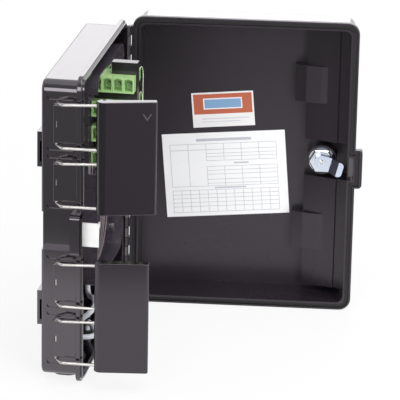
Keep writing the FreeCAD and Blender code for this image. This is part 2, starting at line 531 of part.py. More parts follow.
def base_shell():
    body = new_body("base_shell")
    outline = new_sketch(body, "base_outline", "front", "Layout.rim_y")
    round_rectangle(outline, "Layout.wall_x", "Layout.wall_z", "Sizes.wall_corner")
    pad(body, outline, "Sizes.base_depth", 1)
    soften(body, "Sizes.base_back_round", in_plane("y", "-Sizes.bracket_depth"))
    rim_and_lip(body, "base", "Layout.rim_y", "Sizes.base_flange_thick", 1)
    panels = new_sketch(body, "latch_panels", "side", "-Layout.wall_x")
    for centre in bail_centres.values():
        rectangle(panels, "Layout.rim_y + Sizes.base_flange_thick / 2",
                  "Layout.rim_y + Sizes.panel_depth",
                  "%s - Layout.panel_half" % centre, "%s + Layout.panel_half" % centre)
    pad(body, panels, "Sizes.panel_proud", -1)
    panel_face = in_plane("x", "-(Layout.wall_x + Sizes.panel_proud)")
    rim_back = value("Layout.rim_y + Sizes.base_flange_thick")
    soften(body, "Sizes.panel_round", lambda edge: panel_face(edge) and edge.BoundBox.YMax > rim_back + 1)
    boss = new_sketch(body, "entry_boss", "top", "-Layout.wall_z + Sizes.wall / 2")
    round_rectangle(boss, "(Sizes.entry_right - Sizes.entry_left) / 2",
                    "(Sizes.entry_far - Sizes.entry_near) / 2",
                    "Sizes.entry_round", "(Sizes.entry_right + Sizes.entry_left) / 2",
                    "Layout.rim_y + (Sizes.entry_far + Sizes.entry_near) / 2")
    pad(body, boss, "Sizes.entry_tall + Sizes.wall / 2", -1)
    comb(body, "base", 0, "Layout.rim_y", "Layout.rim_y + Sizes.base_flange_thick - Sizes.rim_edge_round")
    cavity = new_sketch(body, "base_cavity", "front", "Layout.rim_y")
    round_rectangle(cavity, "Layout.inner_x", "Layout.inner_z", "Layout.inner_corner")
    pocket(body, cavity, "Sizes.base_depth - Sizes.wall", 1)
    shelf = new_sketch(body, "recess_shelf", "side", "-Layout.wall_x + Sizes.wall / 2")
    rectangle(shelf, "Layout.shelf_y", "-Sizes.bracket_depth - Sizes.wall / 2",
              "-(Sizes.recess_half + Sizes.wall)", "Sizes.recess_half + Sizes.wall")
    pad(body, shelf, "Sizes.recess_deep + 1.5 * Sizes.wall", 1)
    recess = new_sketch(body, "finger_recess", "side", "-Layout.wall_x")
    rectangle(recess, "Layout.rim_y + Sizes.recess_start", "0", "-Sizes.recess_half", "Sizes.recess_half")
    pocket(body, recess, "Sizes.recess_deep", 1)
    slots = new_sketch(body, "latch_slots", "side", "-Layout.wall_x")
    for centre in bail_centres.values():
        for side in "-+":
            stadium(slots, "Layout.rim_y + Sizes.slot_near", "Layout.rim_y + Sizes.slot_far",
                    "%s %s Layout.slot_offset" % (centre, side), "Sizes.slot_height / 2")
    pocket(body, slots, "Sizes.slot_deep", 1)
    tunnel = new_sketch(body, "bail_tunnels", "top", "-Layout.rim_z")
    circle(tunnel, "Layout.pivot_x", "Layout.pivot_y", "Sizes.wire_radius + Sizes.running_gap")
    pocket(body, tunnel, "Sizes.rim_height", 1)
    windows = new_sketch(body, "panel_windows", "side", "-(Layout.wall_x + Sizes.panel_proud)")
    for centre in bail_centres.values():
        rectangle(windows, "Layout.pivot_y - Sizes.window_width / 2",
                  "Layout.pivot_y + Sizes.window_width / 2",
                  "%s - Sizes.window_height / 2" % centre, "%s + Sizes.window_height / 2" % centre)
    pocket(body, windows, "Sizes.panel_proud - Sizes.bail_pivot_proud", 1)
    tongue = new_sketch(body, "seal_tongue", "front", "Layout.rim_y + Sizes.wall / 2")
    for side in "-+":
        half = "%s Sizes.tongue_thick / 2" % side
        round_rectangle(tongue, "Layout.seal_x " + half, "Layout.seal_z " + half,
                        "Layout.seal_corner " + half)
    pad(body, tongue, "Sizes.tongue_tall + Sizes.wall / 2", -1)
    tongue_half = "Sizes.tongue_thick / 2"
    gap = new_sketch(body, "tongue_gap", "front", "Layout.rim_y")
    straight_stretch(gap, tongue_half)
    pocket(body, gap, "Sizes.tongue_tall", -1)
    jog = new_sketch(body, "tongue_jog", "front", "Layout.rim_y + Sizes.wall / 2")
    lock_jog(jog, tongue_half)
    pad(body, jog, "Sizes.tongue_tall + Sizes.wall / 2", -1)
    pin_bore(body, "base")
    wall_holes = new_sketch(body, "base_wall_holes", "front", "Layout.floor_y")
    for x, z in wall_hole_spots:
        circle(wall_holes, x, z, "Sizes.wall_hole_radius")
    pocket(body, wall_holes, "Sizes.wall", 1)
    screw_holes(body, "base_bracket_holes", bracket_screw_spots, "Layout.floor_y", "Sizes.wall",
                "screw", 1)
    entries = new_sketch(body, "cable_entries", "top", "-Layout.inner_z")
    for x in entry_spots:
        circle(entries, x, "Layout.rim_y + Sizes.entry_depth", "Sizes.entry_radius")
    pocket(body, entries, "Sizes.wall + Sizes.entry_tall", -1)
    posts = new_sketch(body, "tray_posts", "front", "Layout.floor_y + Sizes.wall / 2")
    for x, z in tray_screw_spots:
        circle(posts, x, z, "Sizes.post_radius")
    pad(body, posts, "Layout.floor_y + Sizes.wall / 2 - Layout.tray_back_y", -1)
    clamp_posts = new_sketch(body, "clamp_posts", "front", "Layout.floor_y + Sizes.wall / 2")
    for x, z in clamp_spots:
        circle(clamp_posts, x, z, "Sizes.post_radius")
    pad(body, clamp_posts, "Layout.floor_y + Sizes.wall / 2 - Layout.clamp_y", -1)
    screw_holes(body, "tray_post_holes", tray_screw_spots, "Layout.tray_back_y", "Sizes.tray_depth",
                "screw", 1)
    screw_holes(body, "clamp_post_holes", clamp_spots, "Layout.clamp_y", "Sizes.tray_depth", "screw", 1)
    screw_holes(body, "strike_holes", strike_spots, "Layout.shelf_y", "Sizes.tray_depth", "small_screw",
                1)


def hinge_pin():
    shank = doc.addObject("Part::Cylinder", "hinge_pin_shank")
    bind(shank, Radius="Sizes.hinge_pin_radius", Height="Sizes.rim_height - 2 * Sizes.hinge_margin")
    place(shank, "Layout.hinge_x", "Layout.hinge_y", "Sizes.hinge_margin - Layout.rim_z")
    heads = []
    for name, level in (("lower", "Sizes.hinge_margin - Layout.rim_z - Sizes.pin_head_tall"),
                        ("upper", "Layout.rim_z - Sizes.hinge_margin")):
        head = doc.addObject("Part::Cylinder", "hinge_pin_%s_head" % name)
        bind(head, Radius="Sizes.pin_head_radius", Height="Sizes.pin_head_tall")
        place(head, "Layout.hinge_x", "Layout.hinge_y", level)
        heads.append(head)
    subpart(join("Fuse", "hinge_pin", shank, join("Fuse", "hinge_pin_heads", *heads)), "hinge_pin")


def wall_bracket(name):
    body = new_body(name + "_wall_bracket")
    level = bracket_levels[name]
    low, high = "%s - Sizes.bracket_height / 2" % level, "%s + Sizes.bracket_height / 2" % level
    plate = new_sketch(body, name + "_bracket_plate", "front", "-Sizes.bracket_plate")
    rectangle(plate, "-Sizes.bracket_width / 2", "Sizes.bracket_width / 2", low, high)
    pad(body, plate, "Sizes.bracket_plate", 1)
    ribs = new_sketch(body, name + "_bracket_ribs", "front", "-Sizes.bracket_plate")
    rectangle(ribs, "-Sizes.bracket_width / 2", "Sizes.bracket_width / 2", low,
              low + " + Sizes.bracket_bottom_rib")
    rectangle(ribs, "-Sizes.bracket_width / 2", "Sizes.bracket_width / 2",
              high + " - Sizes.bracket_top_rib", high)
    pad(body, ribs, "Sizes.bracket_depth - Sizes.bracket_plate", -1)
    holes = new_sketch(body, name + "_bracket_wall_holes", "front", "-Sizes.bracket_depth")
    for x, z in wall_hole_spots:
        if z == level:
            circle(holes, x, z, "Sizes.wall_hole_radius")
    pocket(body, holes, "Sizes.bracket_depth", 1)
    spots = [spot for spot in bracket_screw_spots if spot[1].startswith(level)]
    screw_holes(body, name + "_bracket_screw_holes", spots, "-Sizes.bracket_depth",
                "Sizes.bracket_depth", "screw", 1)


def strike_plate():
    body = new_body("strike_plate")
    front, back = "Layout.rim_y - Sizes.strike_reach", "Layout.shelf_y"
    inner = "Layout.strike_x + Sizes.strike_thick"
    upright = new_sketch(body, "strike_angle", "top", "-Sizes.strike_drop - Sizes.strike_half")
    polygon(upright, [("Layout.strike_x", back), ("Layout.strike_x", front), (inner, front),
                      (inner, back + " - Sizes.strike_thick"),
                      ("Layout.strike_x + Sizes.strike_foot", back + " - Sizes.strike_thick"),
                      ("Layout.strike_x + Sizes.strike_foot", back)])
    pad(body, upright, "2 * Sizes.strike_half", 1)
    hook = new_sketch(body, "strike_hook", "top", "Sizes.hook_from - Sizes.strike_drop")
    rectangle(hook, "Layout.strike_x", "Layout.strike_x + Sizes.strike_hook", front,
              front + " + Sizes.strike_thick")
    pad(body, hook, "Sizes.strike_half - Sizes.hook_from", 1)
    screw_holes(body, "strike_foot_holes", strike_spots, back + " - Sizes.strike_thick",
                "Sizes.strike_thick",
                "small_screw", 1)


def cable_grommet(number, x):
    body = new_body("cable_grommet_%d" % number)
    y = "Layout.rim_y + Sizes.entry_depth"
    bottom = "-(Layout.wall_z + Sizes.entry_tall)"
    plug = new_sketch(body, "grommet_plug_%d" % number, "top", bottom)
    circle(plug, x, y, "Sizes.entry_radius - Sizes.fit_gap")
    pad(body, plug, "Sizes.wall + Sizes.entry_tall", 1)
    flange = new_sketch(body, "grommet_flange_%d" % number, "top", "-Layout.inner_z")
    circle(flange, x, y, "Sizes.entry_radius + Sizes.grommet_flange")
    pad(body, flange, "Sizes.grommet_flange_thick", 1)
    bore = new_sketch(body, "grommet_bore_%d" % number, "top", bottom)
    circle(bore, x, y, "Sizes.grommet_bore")
    open_bore = "Sizes.wall + Sizes.entry_tall + Sizes.grommet_flange_thick"
    pocket(body, bore, open_bore if number == 2 else "Sizes.entry_tall", 1)


def cable_clamp():
    body = new_body("cable_clamp")
    bar = new_sketch(body, "clamp_bar", "front", "Layout.clamp_y")
    round_rectangle(bar, "Sizes.clamp_half", "Sizes.clamp_tall / 2", "Sizes.post_radius",
                    "Sizes.clamp_centre_x",
                    "Layout.clamp_z")
    pad(body, bar, "Sizes.clamp_thick", -1)
    screw_holes(body, "clamp_holes", clamp_spots, "Layout.clamp_y - Sizes.clamp_thick",
                "Sizes.clamp_thick", "screw", 1)


def tray_outline(sketch, inset):
    round_rectangle(sketch, "Layout.tray_half_x - (%s)" % inset, "Layout.tray_half_z - (%s)" % inset,
                    "Sizes.tray_corner - (%s)" % inset, "Layout.tray_x", "Layout.tray_z")


def splice_tray():
    body = new_body("splice_tray")
    outline = new_sketch(body, "tray_outline", "front", "Layout.tray_y")
    tray_outline(outline, "0")
    pad(body, outline, "Layout.tray_back_y - Layout.tray_y", 1)
    space = new_sketch(body, "tray_space", "front", "Layout.tray_y")
    tray_outline(space, "Sizes.tray_wall")
    pocket(body, space, "Layout.tray_back_y - Sizes.tray_wall - Layout.tray_y", 1)
    floor = "Layout.tray_back_y - Sizes.tray_wall"
    pillars = new_sketch(body, "tray_pillars", "front", floor)
    for x, z in tray_screw_spots:
        circle(pillars, x, z, "Sizes.post_radius")
    pad(body, pillars, "Sizes.tray_depth - Sizes.tray_wall", -1)
    screw_holes(body, "tray_holes", tray_screw_spots, "Layout.pillar_y", "Sizes.tray_depth", "screw", 1)
    guide = new_sketch(body, "coil_guide", "front", floor)
    inner = "Sizes.coil_round - Sizes.coil_radius - Sizes.guide_gap"
    for ring in (inner, inner + " - Sizes.guide_wall"):
        circle(guide, "Sizes.coil_x", "Layout.coil_z", ring)
    pad(body, guide, "Sizes.guide_tall", -1)
    inlet = new_sketch(body, "tray_inlet", "top", "Layout.tray_bottom")
    circle(inlet, "Sizes.inlet_x", "Layout.rim_y + Sizes.inlet_depth",
           "Sizes.tube_radius + Sizes.inlet_gap")
    pocket(body, inlet, "Sizes.tray_wall", 1)
    wall_cut = new_sketch(body, "tray_wall_cut", "side", "Sizes.tray_near")
    rectangle(wall_cut, "Layout.tray_y", "Layout.cover_y", "Layout.wall_cut_bottom",
              "Layout.wall_cut_top")
    pocket(body, wall_cut, "Sizes.tray_wall", 1)


def tray_cover():
    body = new_body("tray_cover")
    outline = new_sketch(body, "cover_outline", "front", "Layout.cover_y")
    tray_outline(outline, "Sizes.tray_wall + 3 * Sizes.fit_gap")
    pad(body, outline, "Sizes.cover_thick", 1)
    slot = new_sketch(body, "cover_slot", "front", "Layout.cover_y")
    rectangle(slot, "Sizes.cover_slot_left", "Sizes.cover_slot_right", "Layout.cover_slot_bottom",
              "Layout.cover_slot_top")
    pocket(body, slot, "Sizes.cover_thick", 1)
    screw_holes(body, "cover_holes", tray_screw_spots, "Layout.cover_y", "Sizes.cover_thick", "screw", 1)
    screw_holes(body, "cover_frame_holes", frame_screw_spots, "Layout.cover_y", "Sizes.cover_thick",
                "small_screw", 1)


def splice_holder():
    body = new_body("splice_holder")
    back = "Layout.tray_back_y - Sizes.tray_wall"
    plate = new_sketch(body, "holder_block", "front", back)
    rectangle(plate, "Sizes.coil_x - Sizes.holder_width / 2", "Sizes.coil_x + Sizes.holder_width / 2",
              "Layout.coil_z - Sizes.holder_height / 2", "Layout.coil_z + Sizes.holder_height / 2")
    pad(body, plate, "Sizes.holder_thick", -1)
    channels = new_sketch(body, "holder_channels", "top", "Layout.coil_z - Sizes.holder_height / 2")
    for x, y in sleeve_spots():
        circle(channels, x, y, "Sizes.sleeve_radius + Sizes.fit_gap")
    pocket(body, channels, "Sizes.holder_height", 1)


def sleeve_spots():
    middle = (value("Sizes.sleeve_count") - 1) / 2
    y = "Layout.tray_back_y - Sizes.tray_wall - Sizes.holder_thick"
    return [("Sizes.coil_x + (%s) * Sizes.sleeve_pitch" % (i - middle), y)
            for i in range(int(value("Sizes.sleeve_count")))]


def splice_sleeves():
    group = doc.addObject("Part::Compound", "splice_sleeves")
    sleeves = []
    for x, y in sleeve_spots():
        sleeve = doc.addObject("Part::Cylinder", "splice_sleeve")
        bind(sleeve, Radius="Sizes.sleeve_radius", Height="Sizes.sleeve_length")
        place(sleeve, x, y, "Layout.coil_z - Sizes.sleeve_length / 2")
        sleeves.append(sleeve)
    group.Links = sleeves
    subpart(group, "splice_sleeves")


def fibre_coil():
    y = value("Layout.tray_back_y - Sizes.tray_wall - Sizes.coil_radius - Sizes.fit_gap")
    x, z = value("Sizes.coil_x"), value("Layout.coil_z")
    half, turn = value("Sizes.coil_straight / 2"), value("Sizes.coil_round")
    corners = [FreeCAD.Vector(x + turn * i, y, z + half * k) for i, k in ((1, -1), (1, 1), (-1, 1), (-1,
                                                                                                     -1))]
    tops = [FreeCAD.Vector(x, y, z + (half + turn) * k) for k in (1, -1)]
    path = Part.Wire([Part.LineSegment(corners[0], corners[1]).toShape(),
                      Part.Arc(corners[1], tops[0], corners[2]).toShape(),
                      Part.LineSegment(corners[2], corners[3]).toShape(),
                      Part.Arc(corners[3], tops[1], corners[0]).toShape()])
    shaped("fibre_coil", [tube_along(path, value("Sizes.coil_radius"))])


def transport_tube():
    rim_y = value("Layout.rim_y")
    exit_x, exit_y = value(entry_spots[1]), value("Sizes.entry_depth")
    foot, tray_foot = value("-Layout.rim_z"), value("Layout.tray_bottom")
    inlet_x, inlet_y = value("Sizes.inlet_x"), value("Sizes.inlet_depth")
    route = [(exit_x, exit_y, value("-(Layout.wall_z + Sizes.entry_tall / 2)")),
             (exit_x, exit_y, foot + 20), (-18, 5, foot + 21), (-43, -3, foot + 23),
             (-60, 15, foot + 27), (-60, 15, foot + 40), (-49, -2, foot + 54), (-29, 2, foot + 56),
             (inlet_x, inlet_y, tray_foot - 17), (inlet_x, inlet_y, tray_foot + value("Sizes.tray_wall"))]
    points = [FreeCAD.Vector(x, rim_y + y, z) for x, y, z in route]
    radii = []
    for before, corner, after in zip(points, points[1:], points[2:]):
        turn = math.pi - (before - corner).getAngle(after - corner)
        run = min((before - corner).Length, (after - corner).Length)
        radii.append(0.45 * run / math.tan(turn / 2))
    path = wire_path(points, radii)
    print("buffer tube %.0f mm long, bends of radius %s mm" % (path.Length, [round(r, 1) for r in radii]))
    shaped("transport_tube", [tube_along(path, value("Sizes.tube_radius"))])


def adapter_frame():
    body = new_body("adapter_frame")
    block_sketch = new_sketch(body, "frame_block", "front", "Layout.cover_y")
    left, right = "Sizes.frame_x", "Sizes.frame_x + Sizes.frame_deep"
    bottom = "Layout.last_row_z - Layout.row_half - Sizes.frame_rail"
    rectangle(block_sketch, left, right, bottom, "Layout.frame_top")
    pad(body, block_sketch, "Layout.cover_y - Layout.frame_outer_y + Sizes.frame_edge", -1)
    rows = new_sketch(body, "frame_rows", "side", left)
    for level in row_levels:
        rectangle(rows, "Layout.frame_outer_y", "Layout.cover_y", "%s - Layout.row_half" % level,
                  "%s + Layout.row_half" % level)
    pocket(body, rows, "Sizes.frame_deep", 1)
    step = new_sketch(body, "frame_rim_step", "side", left)
    rectangle(step, "Layout.tray_y - Sizes.frame_step", "Layout.cover_y", "Layout.first_row_z",
              "Layout.frame_top")
    pocket(body, step, "Sizes.frame_deep", 1)
    tabs = new_sketch(body, "frame_tabs", "front", "Layout.cover_y")
    for x, z in frame_screw_spots:
        rectangle(tabs, right + " - 1", right + " + Sizes.frame_tab",
                  "%s - Sizes.frame_tab_height / 2" % z,
                  "%s + Sizes.frame_tab_height / 2" % z)
    pad(body, tabs, "Sizes.frame_tab_thick", -1)
    screw_holes(body, "frame_holes", frame_screw_spots, "Layout.cover_y - Sizes.frame_tab_thick",
                "Sizes.frame_tab_thick", "small_screw", 1)


def adapter(row, column):
    name = "adapter_%d_%d" % (row + 1, column + 1)
    y, z = column_levels[column], row_levels[row]
    half_width, half_height = "Sizes.adapter_width / 2", "Sizes.adapter_height / 2"
    housing = block(name + "_housing", "Sizes.adapter_length", "Sizes.adapter_width",
                    "Sizes.adapter_height",
                    "Sizes.port_face_x", "%s - %s" % (y, half_width), "%s - %s" % (z, half_height))
    cuts = []
    for end, x in (("front", "Sizes.port_face_x"), ("rear", "Layout.adapter_back_x - Sizes.port_deep")):
        port = block("%s_%s_port" % (name, end), "Sizes.port_deep", "Sizes.port_width",
                     "Sizes.port_height",
                     x, "%s - Sizes.port_width / 2" % y, "%s - Sizes.port_height / 2" % z)
        key = block("%s_%s_key" % (name, end), "Sizes.port_deep", "Sizes.port_key_width",
                    "Sizes.port_height / 2 + Sizes.port_key_tall", x,
                    "%s - Sizes.port_key_width / 2" % y, z)
        cuts += [port, key]
    ports = doc.addObject("Part::MultiFuse", name + "_ports")
    ports.Shapes = cuts
    subpart(join("Cut", name, housing, ports), name)


def each_adapter():
    return [(row, column) for row in range(len(row_levels)) for column in range(len(column_levels))]


def along_x(name, kind, x, y, z):
    item = doc.addObject("Part::" + kind, name)
    item.Placement.Rotation = FreeCAD.Rotation(FreeCAD.Vector(0, 1, 0), 90)
    place(item, x, y, z)
    return item


def ferrule_sleeves():
    sleeves = []
    for row, column in each_adapter():
        spot = ("Sizes.port_face_x + Sizes.port_deep / 3", column_levels[column], row_levels[row])
        tube, bore = along_x("ferrule_tube", "Cylinder", *spot), along_x("ferrule_bore", "Cylinder",
                                                                         *spot)
        bind(tube, Radius="Sizes.ferrule_radius", Height="Sizes.port_deep * 2 / 3")
        bind(bore, Radius="Sizes.ferrule_bore", Height="Sizes.port_deep / 2")
        sleeves.append(join("Cut", "ferrule_sleeve", tube, bore))
    group = doc.addObject("Part::Compound", "ferrule_sleeves")
    group.Links = sleeves
    subpart(group, "ferrule_sleeves")


def pigtail_connectors():
    connectors = []
    for row, column in each_adapter():
        y, z = column_levels[column], row_levels[row]
        width = "(Sizes.port_width - 4 * Sizes.fit_gap)"
        height = "(Sizes.port_height - 4 * Sizes.fit_gap)"
        plug = block("connector_plug", "Sizes.connector_in + Sizes.connector_out", width, height,
                     "Layout.adapter_back_x - Sizes.connector_in", "%s - %s / 2" % (y, width),
                     "%s - %s / 2" % (z, height))
        boot = along_x("connector_boot", "Cone", "Layout.adapter_back_x + Sizes.connector_out", y, z)
        bind(boot, Radius1="Sizes.boot_radius", Radius2="Sizes.boot_tip_radius",
             Height="Sizes.boot_length")
        connectors.append(join("Fuse", "pigtail_connector", plug, boot))
    group = doc.addObject("Part::Compound", "pigtail_connectors")
    group.Links = connectors
    subpart(group, "pigtail_connectors")


def pigtails():
    cords = []
    start_x = value("Layout.adapter_back_x + Sizes.connector_out + Sizes.boot_length")
    end_y = value("Layout.cover_y + Sizes.cover_thick + Sizes.pigtail_in")
    bend, entry_bend = value("Sizes.pigtail_bend"), value("Sizes.pigtail_entry_bend")
    lengths = []
    for row, column in each_adapter():
        y, z = value(column_levels[column]), value(row_levels[row])
        turn_x = value("Sizes.pigtail_turn_x - %d * Sizes.pigtail_row_step" % row)
        low = value("Layout.pigtail_entry_z - %d * Sizes.pigtail_column_step" % column)
        points = [FreeCAD.Vector(*spot) for spot in ((start_x, y, z), (turn_x, y, z), (turn_x, y, low),
                                                     (turn_x, end_y, low))]
        path = wire_path(points, [min(bend, 0.6 * (z - low)), entry_bend])
        lengths.append(path.Length)
        cords.append(tube_along(path, value("Sizes.pigtail_radius")))
    print("pigtails %.0f to %.0f mm long, bends of radius %.0f and %.0f mm"
          % (min(lengths), max(lengths), bend, entry_bend))
    shaped("pigtails", cords)


def lid_point(x, depth):
    return ("-(%s)" % x, "Layout.lid_y - (%s)" % depth)


def pad_line(x, extra):
    return "Sizes.pad_far_depth - (%s - Sizes.pad_far) * Layout.pad_slope + (%s)" % (x, extra)


def lid_shell():
    body = new_body("lid_shell")
    hang_on_lid(body)
    outline = new_sketch(body, "lid_outline", "front", "Layout.lid_y")
    round_rectangle(outline, "Layout.wall_x", "Layout.wall_z", "Sizes.wall_corner")
    pad(body, outline, "Sizes.lid_depth", -1)
    soften(body, "Sizes.lid_front_round", in_plane("y", "Layout.lid_front_y"))
    rim_and_lip(body, "lid", "Layout.lid_y", "Sizes.lid_flange_thick", -1)
    comb(body, "lid", 1, "Layout.lid_y - Sizes.lid_flange_thick + Sizes.rim_edge_round", "Layout.lid_y")
    cavity = new_sketch(body, "lid_cavity", "front", "Layout.lid_y")
    round_rectangle(cavity, "Layout.inner_x", "Layout.inner_z", "Layout.inner_corner")
    pocket(body, cavity, "Sizes.lid_depth - Sizes.wall", -1)
    inside, under = "Layout.inner_x + Sizes.wall / 2", "Sizes.lid_depth - Sizes.wall / 2"
    pad_side = [lid_point("Sizes.pad_far", under), lid_point("Sizes.pad_far", "Sizes.pad_far_depth"),
                lid_point("Sizes.pad_near", "Sizes.pad_near_depth"),
                lid_point("Sizes.pad_near", "Sizes.pad_near_depth + Sizes.catch_step"),
                lid_point(inside, pad_line(inside, "Sizes.catch_step")), lid_point(inside, under)]
    finger_side = [lid_point("Sizes.finger_near", under), lid_point("Sizes.finger_near",
                                                                    "Sizes.finger_near_depth"),
                   lid_point("Sizes.finger_knee", "Sizes.finger_knee_depth"),
                   lid_point("Sizes.finger_top", "Sizes.finger_top_depth"),
                   lid_point("Sizes.finger_end",
                             "Sizes.finger_top_depth"), lid_point("Sizes.finger_end", under)]
    outside, over = "Layout.rim_x", "Sizes.lid_depth + Sizes.wall"
    pad_hollow = [lid_point("Sizes.pad_far + Sizes.pad_wall", over),
                  lid_point("Sizes.pad_far + Sizes.pad_wall", pad_line("Sizes.pad_far",
                                                                       "Sizes.pad_skin")),
                  lid_point(outside, pad_line(outside, "Sizes.pad_skin")), lid_point(outside, over)]
    skin = " + Sizes.finger_skin"
    finger_hollow = [lid_point("Sizes.finger_near" + skin, over),
                     lid_point("Sizes.finger_near" + skin, "Sizes.finger_near_depth" + skin),
                     lid_point("Sizes.finger_knee" + skin + " / 4", "Sizes.finger_knee_depth" + skin),
                     lid_point("Sizes.finger_top", "Sizes.finger_top_depth" + skin),
                     lid_point("Sizes.finger_end", "Sizes.finger_top_depth" + skin),
                     lid_point("Sizes.finger_end", over)]
    pad_span = "Layout.pad_end - Layout.pad_start"
    shapes = [("pad", pad_side, pad_hollow, {"upper": "Layout.pad_start", "lower": "-Layout.pad_end"},
               pad_span),
              ("finger", finger_side, finger_hollow, {"upper": "Layout.lever_mid - Sizes.finger_half",
                                                      "lower": "-Layout.lever_mid - Sizes.finger_half"},
               "2 * Sizes.finger_half")]
    for name, side, hollow, levels, span in shapes:
        for half, level in levels.items():
            filled = new_sketch(body, "%s_%s_block" % (half, name), "top", level)
            polygon(filled, side)
            pad(body, filled, span, 1)
    boss = new_sketch(body, "lock_boss", "front", "Layout.lid_floor_y")
    circle(boss, "-Sizes.lock_x", "0", "Sizes.lock_boss_radius")
    pad(body, boss, "Layout.lid_y - Sizes.lock_boss_depth - Layout.lid_floor_y", 1)
    for name, side, hollow, levels, span in shapes:
        for half, level in levels.items():
            emptied = new_sketch(body, "%s_%s_hollow" % (half, name), "top",
                                 "%s + Sizes.pad_wall" % level)
            polygon(emptied, hollow)
            pocket(body, emptied, "%s - 2 * Sizes.pad_wall" % span, 1)
    cup = new_sketch(body, "lock_cup", "front", "Layout.lid_front_y")
    circle(cup, "-Sizes.lock_x", "0", "Sizes.lock_cup_radius")
    pocket(body, cup, "Sizes.lid_depth - Sizes.lock_boss_depth - Sizes.lock_plate", 1)
    hole = new_sketch(body, "lock_hole", "front", "Layout.lid_front_y")
    circle(hole, "-Sizes.lock_x", "0", "Sizes.barrel_radius + Sizes.fit_gap")
    pocket(body, hole, "Sizes.lid_depth", 1)
    groove = new_sketch(body, "seal_groove", "front", "Layout.lid_y")
    seal_ring(groove, "Sizes.groove_width / 2")
    pocket(body, groove, "Sizes.groove_depth", -1)
    groove_half = "Sizes.groove_width / 2"
    filling = new_sketch(body, "groove_filling", "front", "Layout.lid_y")
    straight_stretch(filling, groove_half)
    pad(body, filling, "Sizes.groove_depth + Sizes.wall / 4", -1)
    jog = new_sketch(body, "groove_jog", "front", "Layout.lid_y")
    lock_jog(jog, groove_half)
    pocket(body, jog, "Sizes.groove_depth", -1)
    notch = new_sketch(body, "lock_notch", "front", "Layout.lid_y")
    outer = "-(Layout.seal_x + Sizes.jog_out - %s - Sizes.jog_wall)" % groove_half
    half = "(Sizes.jog_half - %s - Sizes.jog_wall)" % groove_half
    rectangle(notch, outer, "-(Layout.inner_x - Sizes.jog_wall)", "-" + half, half)
    pocket(body, notch, "Sizes.notch_deep", -1)
    soften(body, "Sizes.jog_round", along("y", ("x", outer), ("z", "-" + half)),
           along("y", ("x", outer), ("z", half)))
    pin_bore(body, "lid")


def straight_stretch(sketch, half):
    # The stretch of the seal's ring that the jog round the lock takes the place of
    reach, side = "%s + Sizes.wall / 4" % half, "Sizes.jog_half - %s" % half
    rectangle(sketch, "-(Layout.seal_x + %s)" % reach, "-(Layout.seal_x - (%s))" % reach,
              "-(%s)" % side, side)


def lock_jog(sketch, half):
    # The seal runs out into the finger lip, along it and back
    near, far = "-(Layout.seal_x - %s)" % half, "-(Layout.seal_x + Sizes.jog_out %s %s)"
    wide, narrow = "(Sizes.jog_half + %s)" % half, "(Sizes.jog_half - %s)" % half
    outside, within = far % ("+", half), far % ("-", half)
    polygon(sketch, [(near, "-" + wide), (near, "-" + narrow), (within, "-" + narrow), (within, narrow),
                     (near, narrow), (near, wide), (outside, wide), (outside, "-" + wide)])


def seal_ring(sketch, half):
    for side in "-+":
        step = "%s (%s)" % (side, half)
        round_rectangle(sketch, "Layout.seal_x " + step, "Layout.seal_z " + step,
                        "Layout.seal_corner " + step)


def lid_gasket():
    body = new_body("lid_gasket")
    hang_on_lid(body)
    ring = new_sketch(body, "gasket_ring", "front", "Layout.lid_y - Sizes.groove_depth")
    half = "(Sizes.groove_width / 2 - Sizes.fit_gap)"
    seal_ring(ring, half)
    pad(body, ring, "Sizes.gasket_thick", 1)
    gap = new_sketch(body, "gasket_gap", "front", "Layout.lid_y - Sizes.groove_depth")
    straight_stretch(gap, half)
    pocket(body, gap, "Sizes.gasket_thick", 1)
    jog = new_sketch(body, "gasket_jog", "front", "Layout.lid_y - Sizes.groove_depth")
    lock_jog(jog, half)
    pad(body, jog, "Sizes.gasket_thick", 1)


def lock_body():
    plate_y = "Layout.lid_y - Sizes.lock_boss_depth - Sizes.lock_plate"
    head = rod("lock_head", "Sizes.lock_head_radius", "Sizes.lock_head_thick", "-Sizes.lock_x",
               plate_y + " - Sizes.lock_head_thick", "0")
    barrel = rod("lock_barrel", "Sizes.barrel_radius", "Layout.barrel_end_y - (%s)" % plate_y,
                 "-Sizes.lock_x",
                 plate_y, "0")
    bore = rod("lock_bore", "Sizes.plug_radius + Sizes.running_gap", "Sizes.lid_depth", "-Sizes.lock_x",
               "Layout.lid_front_y", "0")
    whole = join("Fuse", "lock_whole", head, barrel)
    hang_on_lid(subpart(join("Cut", "lock_body", whole, bore), "lock_body"))


def lock_washer():
    disc = rod("washer_disc", "Sizes.washer_radius", "Sizes.washer_thick", "-Sizes.lock_x",
               "Layout.lid_y - Sizes.lock_boss_depth", "0")
    bore = rod("washer_bore", "Sizes.barrel_radius + Sizes.fit_gap", "Sizes.lid_depth", "-Sizes.lock_x",
               "Layout.lid_front_y", "0")
    hang_on_lid(subpart(join("Cut", "lock_washer", disc, bore), "lock_washer"))


